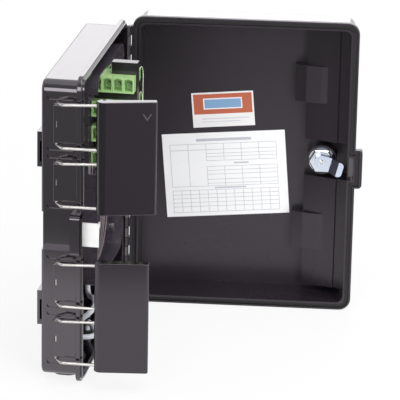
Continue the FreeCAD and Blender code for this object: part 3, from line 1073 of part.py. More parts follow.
def lock_nut():
    body = new_body("lock_nut")
    hang_on_lid(body)
    hexagon = new_sketch(body, "nut_hexagon", "front", "Layout.nut_y")
    reach = "Sizes.nut_across / (2 * cos(30deg))"
    polygon(hexagon, [("-Sizes.lock_x + %s * cos(%ddeg)" % (reach, 60 * i), "%s * sin(%ddeg)" % (reach,
                                                                                                 60 * i))
                      for i in range(6)])
    pad(body, hexagon, "Sizes.nut_thick", 1)
    bevel = body.newObject("PartDesign::Chamfer", "nut_bevel")
    doc.recompute()
    ends = in_plane("y", "Layout.nut_y + Sizes.nut_thick")
    shape = body.Tip.Shape if body.Tip is not bevel else bevel.BaseFeature.Shape
    bevel.Base = (bevel.BaseFeature, ["Edge%d" % i for i, edge in enumerate(shape.Edges,
                                                                            1) if ends(edge)])
    bind(bevel, Size="Sizes.nut_bevel")
    bore = new_sketch(body, "nut_bore", "front", "Layout.nut_y")
    circle(bore, "-Sizes.lock_x", "0", "Sizes.barrel_radius + Sizes.fit_gap")
    pocket(body, bore, "Sizes.nut_thick", 1)


def turn_on_lid(item):
    # The cam turns about the lock axis, which the lid carries with it
    axis = FreeCAD.Vector(-value("Sizes.lock_x"), 0, 0)
    turn = FreeCAD.Rotation(FreeCAD.Vector(0, 1, 0), -value("Sizes.cam_rest_angle"))
    swing = FreeCAD.Rotation(FreeCAD.Vector(0, 0, 1), value("Sizes.lid_open_angle"))
    shift = FreeCAD.Vector(value("Layout.lid_shift_x"), value("Layout.lid_shift_y"), 0)
    about_axis = FreeCAD.Placement(axis - turn.multVec(axis), turn)
    item.Placement = FreeCAD.Placement(shift, swing).multiply(about_axis).multiply(item.Placement)


def lock_plug():
    front_y = "Layout.lid_y - Sizes.lock_boss_depth - Sizes.lock_plate - Sizes.lock_head_thick"
    cylinder = rod("plug_cylinder", "Sizes.plug_radius", "Layout.cam_y - (%s)" % front_y,
                   "-Sizes.lock_x", front_y, "0")
    square = block("plug_square", "Sizes.plug_square", "Sizes.cam_thick", "Sizes.plug_square",
                   "-Sizes.lock_x - Sizes.plug_square / 2", "Layout.cam_y", "-Sizes.plug_square / 2")
    key = block("key_slot", "Sizes.key_slot_wide", "Sizes.lock_head_thick", "Sizes.key_slot_tall",
                "-Sizes.lock_x - Sizes.key_slot_wide / 2", front_y, "-Sizes.key_slot_tall / 2")
    thread = rod("plug_thread", "Sizes.small_screw_radius + Sizes.fit_gap", "2 * Sizes.cam_thick",
                 "-Sizes.lock_x",
                 "Layout.cam_y - Sizes.cam_thick", "0")
    whole = join("Fuse", "plug_whole", cylinder, square)
    plug = join("Cut", "lock_plug", whole, join("Fuse", "plug_hollows", key, thread))
    subpart(plug, "lock_plug")
    turn_on_lid(plug)


def lock_cam():
    body = new_body("lock_cam")
    half, near = "Sizes.cam_width / 2", "Layout.cam_y"
    crank = "(-Sizes.lock_x - Sizes.cam_crank_at)"
    tip = "(-Sizes.lock_x - Sizes.cam_reach)"
    arm = new_sketch(body, "cam_arm", "top", "-Sizes.cam_width / 2")
    end = "(-Sizes.lock_x + Sizes.cam_width / 2)"
    far = near + " + Sizes.cam_thick"
    polygon(arm, [(end, near), (end, far), (crank, far), (crank + " - Sizes.cam_crank",
                                                          far + " + Sizes.cam_crank"),
                  (tip, far + " + Sizes.cam_crank"), (tip, near + " + Sizes.cam_crank"),
                  (crank + " - Sizes.cam_crank", near + " + Sizes.cam_crank"), (crank, near)])
    pad(body, arm, "Sizes.cam_width", 1)
    soften(body, half + " - 0.5", along("y", ("x", end)))
    soften(body, "Sizes.cam_width / 4", along("y", ("x", tip)))
    square = new_sketch(body, "cam_square", "front", near)
    side = "(Sizes.plug_square / 2 + Sizes.fit_gap)"
    rectangle(square, "-Sizes.lock_x - " + side, "-Sizes.lock_x + " + side, "-" + side, side)
    pocket(body, square, "Sizes.cam_thick", 1)
    turn_on_lid(body)


def cam_screw():
    fixing = screw("cam_screw", "-Sizes.lock_x", "0", "0", "2 * Sizes.cam_thick - 1", "small_screw")
    seat = FreeCAD.Vector(-2 * value("Sizes.lock_x"), value("Layout.cam_y + Sizes.cam_thick"), 0)
    fixing.Placement = FreeCAD.Placement(seat, FreeCAD.Rotation(FreeCAD.Vector(0, 0, 1), 180))
    subpart(fixing, "cam_screw")
    turn_on_lid(fixing)


def lid_card(label, x, z, width, height, tilt):
    card = doc.addObject("Part::Box", label)
    bind(card, Length=width, Width="Sizes.card_thick", Height=height)
    angle = math.radians(value(tilt))
    half_x, half_z = value(width) / 2, value(height) / 2
    corner = FreeCAD.Vector(value(x) - half_x * math.cos(angle) - half_z * math.sin(angle),
                            value("Layout.lid_floor_y"),
                            value(z) + half_x * math.sin(angle) - half_z * math.cos(angle))
    lying = FreeCAD.Placement(corner, FreeCAD.Rotation(FreeCAD.Vector(0, 1, 0), value(tilt)))
    swing = FreeCAD.Rotation(FreeCAD.Vector(0, 0, 1), value("Sizes.lid_open_angle"))
    shift = FreeCAD.Vector(value("Layout.lid_shift_x"), value("Layout.lid_shift_y"), 0)
    card.Placement = FreeCAD.Placement(shift, swing).multiply(lying)
    subpart(card, label)


def wire_bail(name):
    reach = value("Sizes.bail_reach")
    out, down = value("Sizes.bail_bend_out"), value("Sizes.bail_bend_along")
    web, splay = value("Layout.bail_web_half"), value("Sizes.bail_splay")
    pin_end = web + splay - value("Sizes.bail_pin_length")
    elbow = web + splay * down / reach
    side = [(0, -reach, pin_end), (0, -reach, web + splay), (-out, -down, elbow), (0, 0, web)]
    route = side + [(x, y, -z) for x, y, z in reversed(side)]
    corner, bend = value("Sizes.bail_corner_round"), value("Sizes.bail_bend_round")
    path = wire_path([FreeCAD.Vector(*spot) for spot in route], [corner, bend, corner, corner, bend,
                                                                 corner])
    bail = shaped(name + "_bail", [tube_along(path, value("Sizes.wire_radius"))])
    half = name.split("_")[0]
    bail.Placement = FreeCAD.Placement(FreeCAD.Vector(), FreeCAD.Rotation(FreeCAD.Vector(0, 0, -1), 1))
    bind(bail, Placement__Rotation__Angle="-Sizes.%s_bail_angle * 1deg" % half)
    place(bail, "Layout.pivot_x", "Layout.pivot_y", bail_centres[name])


def latch_lever(half):
    body = new_body(half + "_latch_lever")
    sign = 1 if half == "upper" else -1
    low = "Sizes.lever_lift + Sizes.lever_start" if sign > 0 else \
        "Sizes.lever_lift - Sizes.lever_start - Layout.lever_length"
    high = low + " + Layout.lever_length"
    face, tip = "-Sizes.lever_face", "-Layout.%s_lever_tip" % half
    section = new_sketch(body, half + "_lever_section", "top", low)
    polygon(section, [("Sizes.hub_inner", "Sizes.hub_half"), ("-Sizes.hub_skirt", "Sizes.hub_edge"),
                      (face, "Sizes.hub_edge"), (face,
                                                 tip), ("Sizes.lever_tip_depth - Sizes.lever_face", tip),
                      ("Sizes.lever_skirt", "-(Sizes.hub_length + Sizes.lever_wall)"),
                      ("Sizes.hub_inner", "-Sizes.hub_half")])
    pad(body, section, "Layout.lever_length", 1)
    soften(body, "Sizes.lever_outer_round", along("z", ("x", face), ("y", "Sizes.hub_edge")))
    soften(body, "Sizes.hub_inner", along("z", ("x", face), ("y", tip)))
    soften(body, "Sizes.lever_edge_round", in_plane("z", low), in_plane("z", high))
    hollow = new_sketch(body, half + "_lever_hollow", "side", "Sizes.hub_inner")
    middle = "Sizes.lever_lift + %d * Layout.lever_mid" % sign
    for start, stop in ((low + " + Sizes.lever_wall", middle + " - Sizes.lever_wall / 2"),
                        (middle + " + Sizes.lever_wall / 2", high + " - Sizes.lever_wall")):
        rectangle(hollow, tip + " + Sizes.lever_wall", "-Sizes.hub_length", start, stop)
    pocket(body, hollow, "Sizes.hub_inner + Sizes.lever_face - Sizes.lever_plate", -1)
    slots = new_sketch(body, half + "_leg_slots", "side", "Sizes.hub_inner")
    for name, centre in bail_centres.items():
        if name.startswith(half):
            for side in "-+":
                leg = "%s %s (Layout.bail_web_half + Sizes.bail_splay)" % (centre, side)
                rectangle(slots, "-Sizes.hub_half", "Sizes.hub_edge + Sizes.lever_wall",
                          leg + " - Sizes.leg_slot / 2", leg + " + Sizes.leg_slot / 2")
    pocket(body, slots, "Sizes.hub_inner + Sizes.leg_slot_deep", -1)
    bore = new_sketch(body, half + "_hub_bore", "top", low)
    circle(bore, "0", "0", "Sizes.wire_radius + Sizes.running_gap")
    pocket(body, bore, "Layout.lever_length", 1)
    if sign > 0:
        chevron(body, tip + " + Sizes.mark_from_tip", high + " - Sizes.mark_from_top")
    body.Placement = FreeCAD.Placement(FreeCAD.Vector(), FreeCAD.Rotation(FreeCAD.Vector(0, 0, 1), 1))
    bind(body, Placement__Rotation__Angle="Sizes.%s_lever_yaw * 1deg" % half)
    place(body, "Layout.%s_hub_x" % half, "Layout.%s_hub_y" % half, "0")


def chevron(body, left, top):
    mark = new_sketch(body, "lever_chevron", "side", "-Sizes.lever_face")
    middle, right = left + " + Sizes.mark_width / 2", left + " + Sizes.mark_width"
    low = top + " - Sizes.mark_tall"
    polygon(mark, [(left, top), (middle, low), (right, top), (right + " - Sizes.mark_stroke", top),
                   (middle, low + " + 1.5 * Sizes.mark_stroke"), (left + " + Sizes.mark_stroke", top)])
    pocket(body, mark, "Sizes.mark_deep", 1)


base_shell()
hinge_pin()
wall_bracket("upper")
wall_bracket("lower")
screw_group("bracket_screws", bracket_screw_spots, "Layout.floor_y",
            "Sizes.wall + Sizes.bracket_depth - 1", "screw")
strike_plate()
screw_group("strike_screws", strike_spots, "Layout.shelf_y - Sizes.strike_thick", "Sizes.tray_depth",
            "small_screw")
for entry_number, entry_x in enumerate(entry_spots, 1):
    cable_grommet(entry_number, entry_x)
cable_clamp()
screw_group("clamp_screws", clamp_spots, "Layout.clamp_y - Sizes.clamp_thick",
            "Sizes.clamp_thick + Sizes.tray_depth - 1",
            "screw")
transport_tube()
splice_tray()
screw_group("tray_screws", tray_screw_spots, "Layout.cover_y",
            "Sizes.cover_thick + 2 * Sizes.tray_depth - 1", "screw")
tray_cover()
splice_holder()
splice_sleeves()
fibre_coil()
adapter_frame()
screw_group("frame_screws", frame_screw_spots, "Layout.cover_y - Sizes.frame_tab_thick",
            "Sizes.frame_tab_thick + Sizes.cover_thick + 1", "small_screw")
for adapter_row, adapter_column in each_adapter():
    adapter(adapter_row, adapter_column)
ferrule_sleeves()
pigtail_connectors()
pigtails()
lid_shell()
lid_gasket()
lock_body()
lock_washer()
lock_nut()
lid_card("label_card", "Sizes.label_x", "Sizes.label_z", "Sizes.label_width", "Sizes.label_height",
         "Sizes.label_tilt")
lid_card("log_sheet", "Sizes.sheet_x", "Sizes.sheet_z", "Sizes.sheet_width", "Sizes.sheet_height",
         "Sizes.sheet_tilt")
lock_plug()
lock_cam()
cam_screw()
for bail_name in bail_centres:
    wire_bail(bail_name)
latch_lever("upper")
latch_lever("lower")
doc.recompute()

for item in doc.Objects:
    if "Invalid" in item.State or "Error" in item.State:
        raise ValueError("%s did not build: %s" % (item.Label, item.State))
    if item.isDerivedFrom("PartDesign::FeatureExtrude") and item.BaseFeature:
        change = item.Shape.Volume - item.BaseFeature.Shape.Volume
        if (change if item.isDerivedFrom("PartDesign::Pad") else -change) < 1e-3:
            raise ValueError("%s changes nothing" % item.Label)
os.makedirs("parts", exist_ok=True)
for item in subparts:
    if item.Shape.isNull() or not item.Shape.isValid():
        raise ValueError("%s has no sound shape" % item.Label)
    item.Shape.exportStep("parts/%s.step" % item.Label)
print("%d sub-parts written" % len(subparts))
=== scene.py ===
import math
import random

import bpy
from mathutils import Matrix, Vector


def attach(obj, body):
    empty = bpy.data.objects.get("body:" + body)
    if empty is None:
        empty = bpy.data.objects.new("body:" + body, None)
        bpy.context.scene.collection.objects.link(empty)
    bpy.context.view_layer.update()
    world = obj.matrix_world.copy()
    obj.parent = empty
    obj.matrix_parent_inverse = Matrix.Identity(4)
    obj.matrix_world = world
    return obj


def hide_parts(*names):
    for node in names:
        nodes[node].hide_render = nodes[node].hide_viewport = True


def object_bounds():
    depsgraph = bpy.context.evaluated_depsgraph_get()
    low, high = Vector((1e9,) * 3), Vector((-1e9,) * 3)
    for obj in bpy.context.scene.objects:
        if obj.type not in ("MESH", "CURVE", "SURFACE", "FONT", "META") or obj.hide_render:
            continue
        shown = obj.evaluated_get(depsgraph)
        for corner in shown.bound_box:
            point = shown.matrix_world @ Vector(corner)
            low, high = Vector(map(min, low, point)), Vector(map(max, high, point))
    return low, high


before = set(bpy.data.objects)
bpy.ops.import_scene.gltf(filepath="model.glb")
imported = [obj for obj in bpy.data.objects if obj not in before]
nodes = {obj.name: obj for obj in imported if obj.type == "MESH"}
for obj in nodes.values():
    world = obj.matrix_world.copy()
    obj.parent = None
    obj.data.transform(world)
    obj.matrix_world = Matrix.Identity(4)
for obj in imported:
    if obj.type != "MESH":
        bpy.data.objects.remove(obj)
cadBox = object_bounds()
scene = bpy.context.scene
print("frame loaded,", len(nodes), "nodes")


class Wire:
    # one shader socket; arithmetic on it adds Math nodes
    def __init__(self, tree, socket):
        self.tree = tree
        self.socket = socket

    def node(self, kind, settings=None, sockets=None, out=0):
        made = self.tree.nodes.new(kind)
        for name, setting in (settings or {}).items():
            if name == "stops":
                ramp = made.color_ramp
                while len(ramp.elements) < len(setting):
                    ramp.elements.new(0.5)
                for element, (place, colour) in zip(ramp.elements, setting):
                    element.position = place
                    element.color = (*colour, 1)
            else:
                setattr(made, name, setting)
        for name, value in (sockets or {}).items():
            if isinstance(value, Wire):
                self.tree.links.new(value.socket, made.inputs[name])
            else:
                made.inputs[name].default_value = value
        return Wire(self.tree, made.outputs[out])

    def maths(self, operation, first, second=0.0, third=0.0):
        return self.node("ShaderNodeMath", {"operation": operation}, {0: first, 1: second, 2: third})

    def __add__(self, other): return self.maths("ADD", self, other)
    def __radd__(self, other): return self.maths("ADD", other, self)
    def __sub__(self, other): return self.maths("SUBTRACT", self, other)
    def __rsub__(self, other): return self.maths("SUBTRACT", other, self)
    def __mul__(self, other): return self.maths("MULTIPLY", self, other)
    def __rmul__(self, other): return self.maths("MULTIPLY", other, self)
    def __truediv__(self, other): return self.maths("DIVIDE", self, other)
    def __lt__(self, other): return self.maths("LESS_THAN", self, other)
    def __gt__(self, other): return self.maths("GREATER_THAN", self, other)
    def __abs__(self): return self.maths("ABSOLUTE", self)

    def smooth(self, low, high):
        ranged = {"Value": self, "From Min": low, "From Max": high}
        return self.node("ShaderNodeMapRange", {"interpolation_type": "SMOOTHSTEP"}, ranged)

    def blend(self, first, second):
        # this value picks between two colours
        colours = {"Factor": self, 6: first, 7: second}
        return self.node("ShaderNodeMix", {"data_type": "RGBA"}, colours, 2)

    def along(self, direction):
        return self.node("ShaderNodeVectorMath", {"operation": "DOT_PRODUCT"}, {0: self, 1: direction}, 1)

    def stretched(self, factors):
        return self.node("ShaderNodeVectorMath", {"operation": "MULTIPLY"}, {0: self, 1: factors})

    def noise(self, scale, detail=2.0, rough=0.5):
        sockets = {"Vector": self, "Scale": scale, "Detail": detail, "Roughness": rough}
        return self.node("ShaderNodeTexNoise", None, sockets)

    def bump(self, strength, distance):
        sockets = {"Height": self, "Strength": strength, "Distance": distance}
        return self.node("ShaderNodeBump", None, sockets)


def newFinish(name, **constants):
    # a Principled material, its shader, and the wire of its rest-place coordinates
    material = bpy.data.materials.new(name)
    material.use_nodes = True
    tree = material.node_tree
    shader = tree.nodes["Principled BSDF"]
    for socket, value in constants.items():
        shader.inputs[socket.replace("_", " ")].default_value = value
    where = tree.nodes.new("ShaderNodeTexCoord")
    return material, shader, Wire(tree, where.outputs["Object"])


def feed(shader, **wires):
    for socket, wire in wires.items():
        shader.id_data.links.new(wire.socket, shader.inputs[socket.replace("_", " ")])


def rgb(red, green, blue):
    return (red, green, blue, 1.0)


# shared by the three blacks; scuffs run upright, drawn out along the height
grainLook = {"tint": rgb(0.98, 0.92, 1.0), "stretch": (1, 1, 0.06), "scuffRough": 0.05, "lift": 0.06}
blackLook = {
    "baseBlack": {"dark": rgb(0.0044, 0.003, 0.0047), "pale": rgb(0.006, 0.0044, 0.0064),
                  "rough": (0.1, 0.16), "shine": 1.0, "index": 1.64, "cloudScale": 7.0,
                  "scuffScale": 60, "grainScale": 900, "grainDepth": 0.00003},
    "lidBlack": {"dark": rgb(0.0178, 0.0138, 0.0188), "pale": rgb(0.0206, 0.0166, 0.0217),
                 "rough": (0.24, 0.32), "shine": 0.6, "index": 1.5, "cloudScale": 7.0,
                 "scuffScale": 60, "grainScale": 900, "grainDepth": 0.00003, "polish": True},
    "leverBlack": {"dark": rgb(0.0082, 0.0056, 0.0086), "pale": rgb(0.0102, 0.0076, 0.0108),
                   "rough": (0.1, 0.16), "shine": 0.85, "index": 1.5, "cloudScale": 6.0,
                   "scuffScale": 45, "grainScale": 1100, "grainDepth": 0.00002, "mark": True},
}
# the upper lever's cut chevron, whose floor gets a painted highlight, and its hub, which gets painted shade,
# in the lever's own directions from its hub
markLook = {"hub": (-0.114514, -0.065068), "yaw": 15, "floor": (-0.0092, -0.0086), "span": (-0.0435, -0.0335),
            # the pale colour here is a painted highlight on the chevron's floor
            "level": (0.1142, 0.1221), "pale": rgb(0.08, 0.073, 0.083), "hubEdge": -0.0004,
            # the darker hub colour is painted shade
            "hubPaintedShade": rgb(0.0015, 0.0012, 0.0016)}


def leverPaintedLight(place):
    turn = math.radians(markLook["yaw"])
    outward = Vector((math.cos(turn), math.sin(turn), 0))
    tipward = Vector((-math.sin(turn), math.cos(turn), 0))
    hub = Vector((*markLook["hub"], 0))
    depth = place.along(tuple(outward)) - hub.dot(outward)
    reach = place.along(tuple(tipward)) - hub.dot(tipward)
    height = place.along((0, 0, 1))
    low, high = markLook["level"]
    level = abs(height - (low + high) / 2) < (high - low) / 2
    # the chevron's floor, where the painted highlight goes
    chevronPaintedHighlight = level * inside(depth, reach, *markLook["floor"], *markLook["span"])
    # the hub of the upper lever, where the painted shade goes
    return chevronPaintedHighlight, (reach > markLook["hubEdge"]) * (height > 0)


# the lid is polished outside: behind its flange, past the middle of its 3 mm walls
polishLook = {"behind": 0.0062, "corner": (0.097, 0.135), "reach": 0.0085, "front": 0.0485, "weight": 0.9,
              "rough": 0.06, "index": 1.8}


def polishedOutside(place):
    outward = Vector((lidAcross.y, -lidAcross.x, 0))
    depth = place.along(tuple(outward)) - hingeAxis.dot(outward)
    across = place.along(tuple(lidAcross)) - hingeAxis.dot(lidAcross) + hingeAxis.x
    wide, tall = polishLook["corner"]
    sideways = across.maths("MAXIMUM", abs(across) - wide)
    upright = across.maths("MAXIMUM", abs(place.along((0, 0, 1))) - tall)
    walls = sideways * sideways + upright * upright > polishLook["reach"] ** 2
    outside = walls + (depth > polishLook["front"]) > 0.5
    return outside * (depth > polishLook["behind"]) * polishLook["weight"]


def mouldedBlack(name):
    look = blackLook[name]
    material, shader, place = newFinish(name, IOR=look["index"], Specular_IOR_Level=look["shine"],
                                        Specular_Tint=grainLook["tint"])
    clouds = place.noise(look["cloudScale"], 3, 0.55).smooth(0.15, 0.85)
    scuffs = place.stretched(grainLook["stretch"]).noise(look["scuffScale"], 4, 0.6).smooth(0.52, 0.78)
    grain = place.noise(look["grainScale"], 2)
    low, high = look["rough"]
    rough = clouds * (high - low) + low + scuffs * grainLook["scuffRough"]
    colour = clouds.blend(look["dark"], look["pale"])
    if look.get("mark"):
        # painted light on the upper lever: a painted highlight in the chevron and painted shade on the hub
        chevronPaintedHighlight, paintedShadeHub = leverPaintedLight(place)
        colour = paintedShadeHub.blend(chevronPaintedHighlight.blend(colour, markLook["pale"]), markLook["hubPaintedShade"])
    if look.get("polish"):
        shader.inputs["Coat Roughness"].default_value = polishLook["rough"]
        shader.inputs["Coat IOR"].default_value = polishLook["index"]
        feed(shader, Coat_Weight=polishedOutside(place))
    feed(shader, Base_Color=colour, Roughness=rough, Normal=grain.bump(grainLook["lift"], look["grainDepth"]))
    return material


metalLook = {
    "stainless": {"dark": rgb(0.46, 0.44, 0.43), "pale": rgb(0.66, 0.64, 0.62),
                  "rough": (0.12, 0.24), "scale": 90, "fine": 900},
    "chromed": {"dark": rgb(0.6, 0.65, 0.73), "pale": rgb(0.84, 0.87, 0.92),
                "rough": (0.06, 0.14), "scale": 60, "fine": 700},
    "camSteel": {"dark": rgb(0.6, 0.68, 0.82), "pale": rgb(0.74, 0.81, 0.94),
                 "rough": (0.1, 0.2), "scale": 60, "fine": 700},
    "zinc": {"dark": rgb(0.5, 0.5, 0.48), "pale": rgb(0.68, 0.68, 0.66),
             "rough": (0.25, 0.42), "scale": 200, "fine": 900},
}


def brightMetal(name):
    look = metalLook[name]
    material, shader, place = newFinish(name, Metallic=1.0)
    clouds = place.noise(look["scale"], 3)
    low, high = look["rough"]
    feed(shader, Base_Color=clouds.blend(look["dark"], look["pale"]), Roughness=clouds * (high - low) + low,
         Normal=place.noise(look["fine"], 2).bump(0.08, 0.00005))
    return material


plasticLook = {
    "whitePlate": {"dark": rgb(0.84, 0.84, 0.84), "pale": rgb(0.92, 0.92, 0.91),
                   "rough": (0.3, 0.45), "scale": 120},
    "holderGrey": {"dark": rgb(0.2, 0.22, 0.21), "pale": rgb(0.3, 0.32, 0.3),
                   "rough": (0.25, 0.4), "scale": 60},
    "frameBlack": {"dark": rgb(0.012, 0.011, 0.012), "pale": rgb(0.019, 0.018, 0.019),
                   "rough": (0.14, 0.26), "scale": 80},
    "adapterGreen": {"dark": rgb(0.37, 0.62, 0.23), "pale": rgb(0.5, 0.75, 0.34),
                     "rough": (0.18, 0.3), "scale": 130},
    "plugGreen": {"dark": rgb(0.16, 0.42, 0.12), "pale": rgb(0.24, 0.52, 0.18),
                  "rough": (0.3, 0.45), "scale": 130},
    "ferruleGreen": {"dark": rgb(0.24, 0.36, 0.17), "pale": rgb(0.36, 0.48, 0.28),
                     "rough": (0.15, 0.25), "scale": 300},
    "sealRubber": {"dark": rgb(0.01, 0.01, 0.01), "pale": rgb(0.022, 0.022, 0.022),
                   "rough": (0.6, 0.8), "scale": 150},
    "tubeWhite": {"dark": rgb(0.68, 0.69, 0.78), "pale": rgb(0.84, 0.85, 0.9),
                  "rough": (0.3, 0.45), "scale": 90},
    "cordPale": {"dark": rgb(0.5, 0.62, 0.36), "pale": rgb(0.68, 0.76, 0.54),
                 "rough": (0.3, 0.5), "scale": 220},
}


def mouldedColour(name):
    look = plasticLook[name]
    material, shader, place = newFinish(name)
    clouds = place.noise(look["scale"], 3)
    low, high = look["rough"]
    feed(shader, Base_Color=clouds.blend(look["dark"], look["pale"]), Roughness=clouds * (high - low) + low,
         Normal=place.noise(1500, 2).bump(0.1, 0.00004))
    return material


smokeLook = {
    "smokeCover": {"dark": rgb(0.05, 0.04, 0.055), "pale": rgb(0.08, 0.066, 0.088),
                   "rough": 0.08, "solid": 0.2},
    "smokeTray": {"dark": rgb(0.06, 0.05, 0.067), "pale": rgb(0.1, 0.085, 0.11),
                  "rough": 0.12, "solid": 0.78},
    "smokeSleeve": {"dark": rgb(0.035, 0.028, 0.038), "pale": rgb(0.06, 0.05, 0.066),
                    "rough": 0.08, "solid": 0.5},
}


def smokeClear(name):
    look = smokeLook[name]
    material, shader, place = newFinish(name, IOR=1.49)
    clouds = place.noise(25, 3)
    feed(shader, Base_Color=clouds.blend(look["dark"], look["pale"]), Roughness=clouds * 0.08 + look["rough"],
         Alpha=clouds * 0.1 + look["solid"])
    return material


# the lid at rest: how far it is open, its direction from latch to hinge, and its hinge axis
lidTurn = math.radians(95)
lidAcross = Vector((math.cos(lidTurn), math.sin(lidTurn), 0))
hingeAxis = Vector((0.1175, -0.04315, 0))


def lidPoint(x, z):
    # a point on the lid's floor, from its place across the closed lid
    return hingeAxis + lidAcross * (x - hingeAxis.x) + Vector((0, 0, z))


def cardAxes(x, z, tilt):
    turn = math.radians(tilt)
    right = Vector((0, 0, 1)) * math.sin(turn) - lidAcross * math.cos(turn)
    up = lidAcross * math.sin(turn) + Vector((0, 0, 1)) * math.cos(turn)
    return lidPoint(x, z), right, up


def cardWires(place, spot):
    centre, right, up = cardAxes(*spot)
    return place.along(tuple(right)) - centre.dot(right), place.along(tuple(up)) - centre.dot(up)


def inside(u, v, left, right, low, high):
    across = (abs(u - (left + right) / 2) < (right - left) / 2)
    return across * (abs(v - (low + high) / 2) < (high - low) / 2)


labelLook = {"spot": (0.0236, 0.0435, 5), "half": (0.0313, 0.0182), "margin": 0.0017, "fieldLow": -0.0045,
             "coral": rgb(0.5, 0.115, 0.055), "white": rgb(0.87, 0.86, 0.87), "blue": rgb(0.22, 0.38, 0.6),
             "line": rgb(0.62, 0.6, 0.66), "coralPale": rgb(0.55, 0.135, 0.065), "barHalf": (0.0185, 0.0046),
             "barHeight": 0.0062, "barEdge": 0.0012,
             "lines": ((-0.022, 0.026, -0.0101, -0.0089), (-0.022, 0.017, -0.0131, -0.0121)), "strength": 0.8}


def labelPrint():
    material, shader, place = newFinish("labelPrint")
    u, v = cardWires(place, labelLook["spot"])
    halfU, halfV = labelLook["half"]
    margin = labelLook["margin"]
    shade = place.noise(60, 2)
    field = inside(u, v, margin - halfU, halfU - margin, labelLook["fieldLow"], halfV - margin)
    barU, barV = labelLook["barHalf"]
    middle = labelLook["barHeight"]
    bar = inside(u, v, -barU, barU, middle - barV, middle + barV)
    edgeU, edgeV = barU + labelLook["barEdge"], barV + labelLook["barEdge"]
    edge = inside(u, v, -edgeU, edgeU, middle - edgeV, middle + edgeV) - bar
    lines = sum(inside(u, v, *line) for line in labelLook["lines"])
    coral = shade.blend(labelLook["coral"], labelLook["coralPale"])
    face = field.blend(labelLook["white"], coral)
    face = edge.blend(face, labelLook["white"])
    face = bar.blend(face, labelLook["blue"])
    face = (lines * labelLook["strength"]).blend(face, labelLook["line"])
    feed(shader, Base_Color=face, Roughness=shade * 0.1 + 0.36)
    return material


# the log sheet's ruling, in metres from its middle: levels of the rows and edges of the columns
sheetLook = {"spot": (0.0196, -0.0248, 4.7), "paper": rgb(0.94, 0.94, 0.95),
             "shade": rgb(0.9, 0.9, 0.915), "ink": rgb(0.26, 0.27, 0.34), "thick": 0.00026,
             "left": -0.055, "right": 0.053, "split": -0.0185,
             "wideRows": (0.0325, 0.0263, -0.0125),
             "sideRows": (0.0221, 0.0187, 0.0145, 0.0083, 0.0041, 0.0, -0.0055, -0.0097), "sideColumns": 4,
             "gridRows": (-0.0166, -0.0211, -0.0252, -0.0297, -0.0339, -0.04), "gridColumns": 12,
             # each heading is a bar: start, stop, level and half its height
             "headings": ((-0.028, 0.028, 0.0367, 0.0014), (0.009, 0.024, 0.0114, 0.0008),
                          (-0.012, 0.02, -0.0145, 0.0008)), "strength": 0.6}


def logPrint():
    material, shader, place = newFinish("logPrint")
    u, v = cardWires(place, sheetLook["spot"])
    left, right, split, thick = (sheetLook[key] for key in ("left", "right", "split", "thick"))
    fibres = place.noise(240, 4)
    rows, grid, side = sheetLook["wideRows"], sheetLook["gridRows"], sheetLook["sideRows"]
    bars = [(left, right, level - thick, level + thick) for level in rows + grid]
    bars += [(split, right, level - thick, level + thick) for level in side]
    bars += [(edge - thick, edge + thick, rows[2], rows[0]) for edge in (left, (left + split) / 2)]
    blocks = ((side[2], rows[0]), (rows[2], side[3]))
    for step in range(sheetLook["sideColumns"] + 1):
        edge = split + step * (right - split) / sheetLook["sideColumns"]
        bars += [(edge - thick, edge + thick, low, high) for low, high in blocks]
    for step in range(sheetLook["gridColumns"] + 1):
        edge = left + step * (right - left) / sheetLook["gridColumns"]
        bars.append((edge - thick, edge + thick, grid[-1], grid[0]))
    bars += [(start, stop, level - half, level + half) for start, stop, level, half in sheetLook["headings"]]
    ink = inside(u, v, *bars[0])
    for bar in bars[1:]:
        ink = ink + inside(u, v, *bar)
    marks = (ink > 0.5) * sheetLook["strength"]
    paper = fibres.blend(sheetLook["paper"], sheetLook["shade"])
    feed(shader, Base_Color=marks.blend(paper, sheetLook["ink"]), Roughness=fibres * 0.1 + 0.5,
         Normal=fibres.bump(0.1, 0.00005))
    return material


strandLook = {"count": 11, "centre": (0.031, -0.006), "across": (0.034, 0.0625), "tall": (0.0665, 0.0725),
              "front": -0.0322, "layer": 0.00048, "radius": 0.00045, "points": 28, "seed": 11,
              "hop": 7, "stray": 0.6, "lean": 0.003, "square": (0.8, 0.85),
              "stops": ((0.0, (0.8, 0.52, 0.5)), (0.25, (0.86, 0.82, 0.84)), (0.5, (0.55, 0.52, 0.72)),
                        (0.75, (0.84, 0.66, 0.6)))}


def strandFinish():
    # each turn lies in its own layer, and the layer picks its colour
    material, shader, place = newFinish("fibreStrands", IOR=1.46)
    layer = (place.along((0, 1, 0)) - strandLook["front"]) / strandLook["layer"] + 0.5
    step = layer.maths("FLOOR", layer)
    pick = layer.maths("FRACT", step * 0.25 + 0.1)
    colour = pick.node("ShaderNodeValToRGB", {"stops": strandLook["stops"]}, {"Fac": pick})
    feed(shader, Base_Color=colour, Roughness=place.noise(300, 2) * 0.15 + 0.2)
    return material


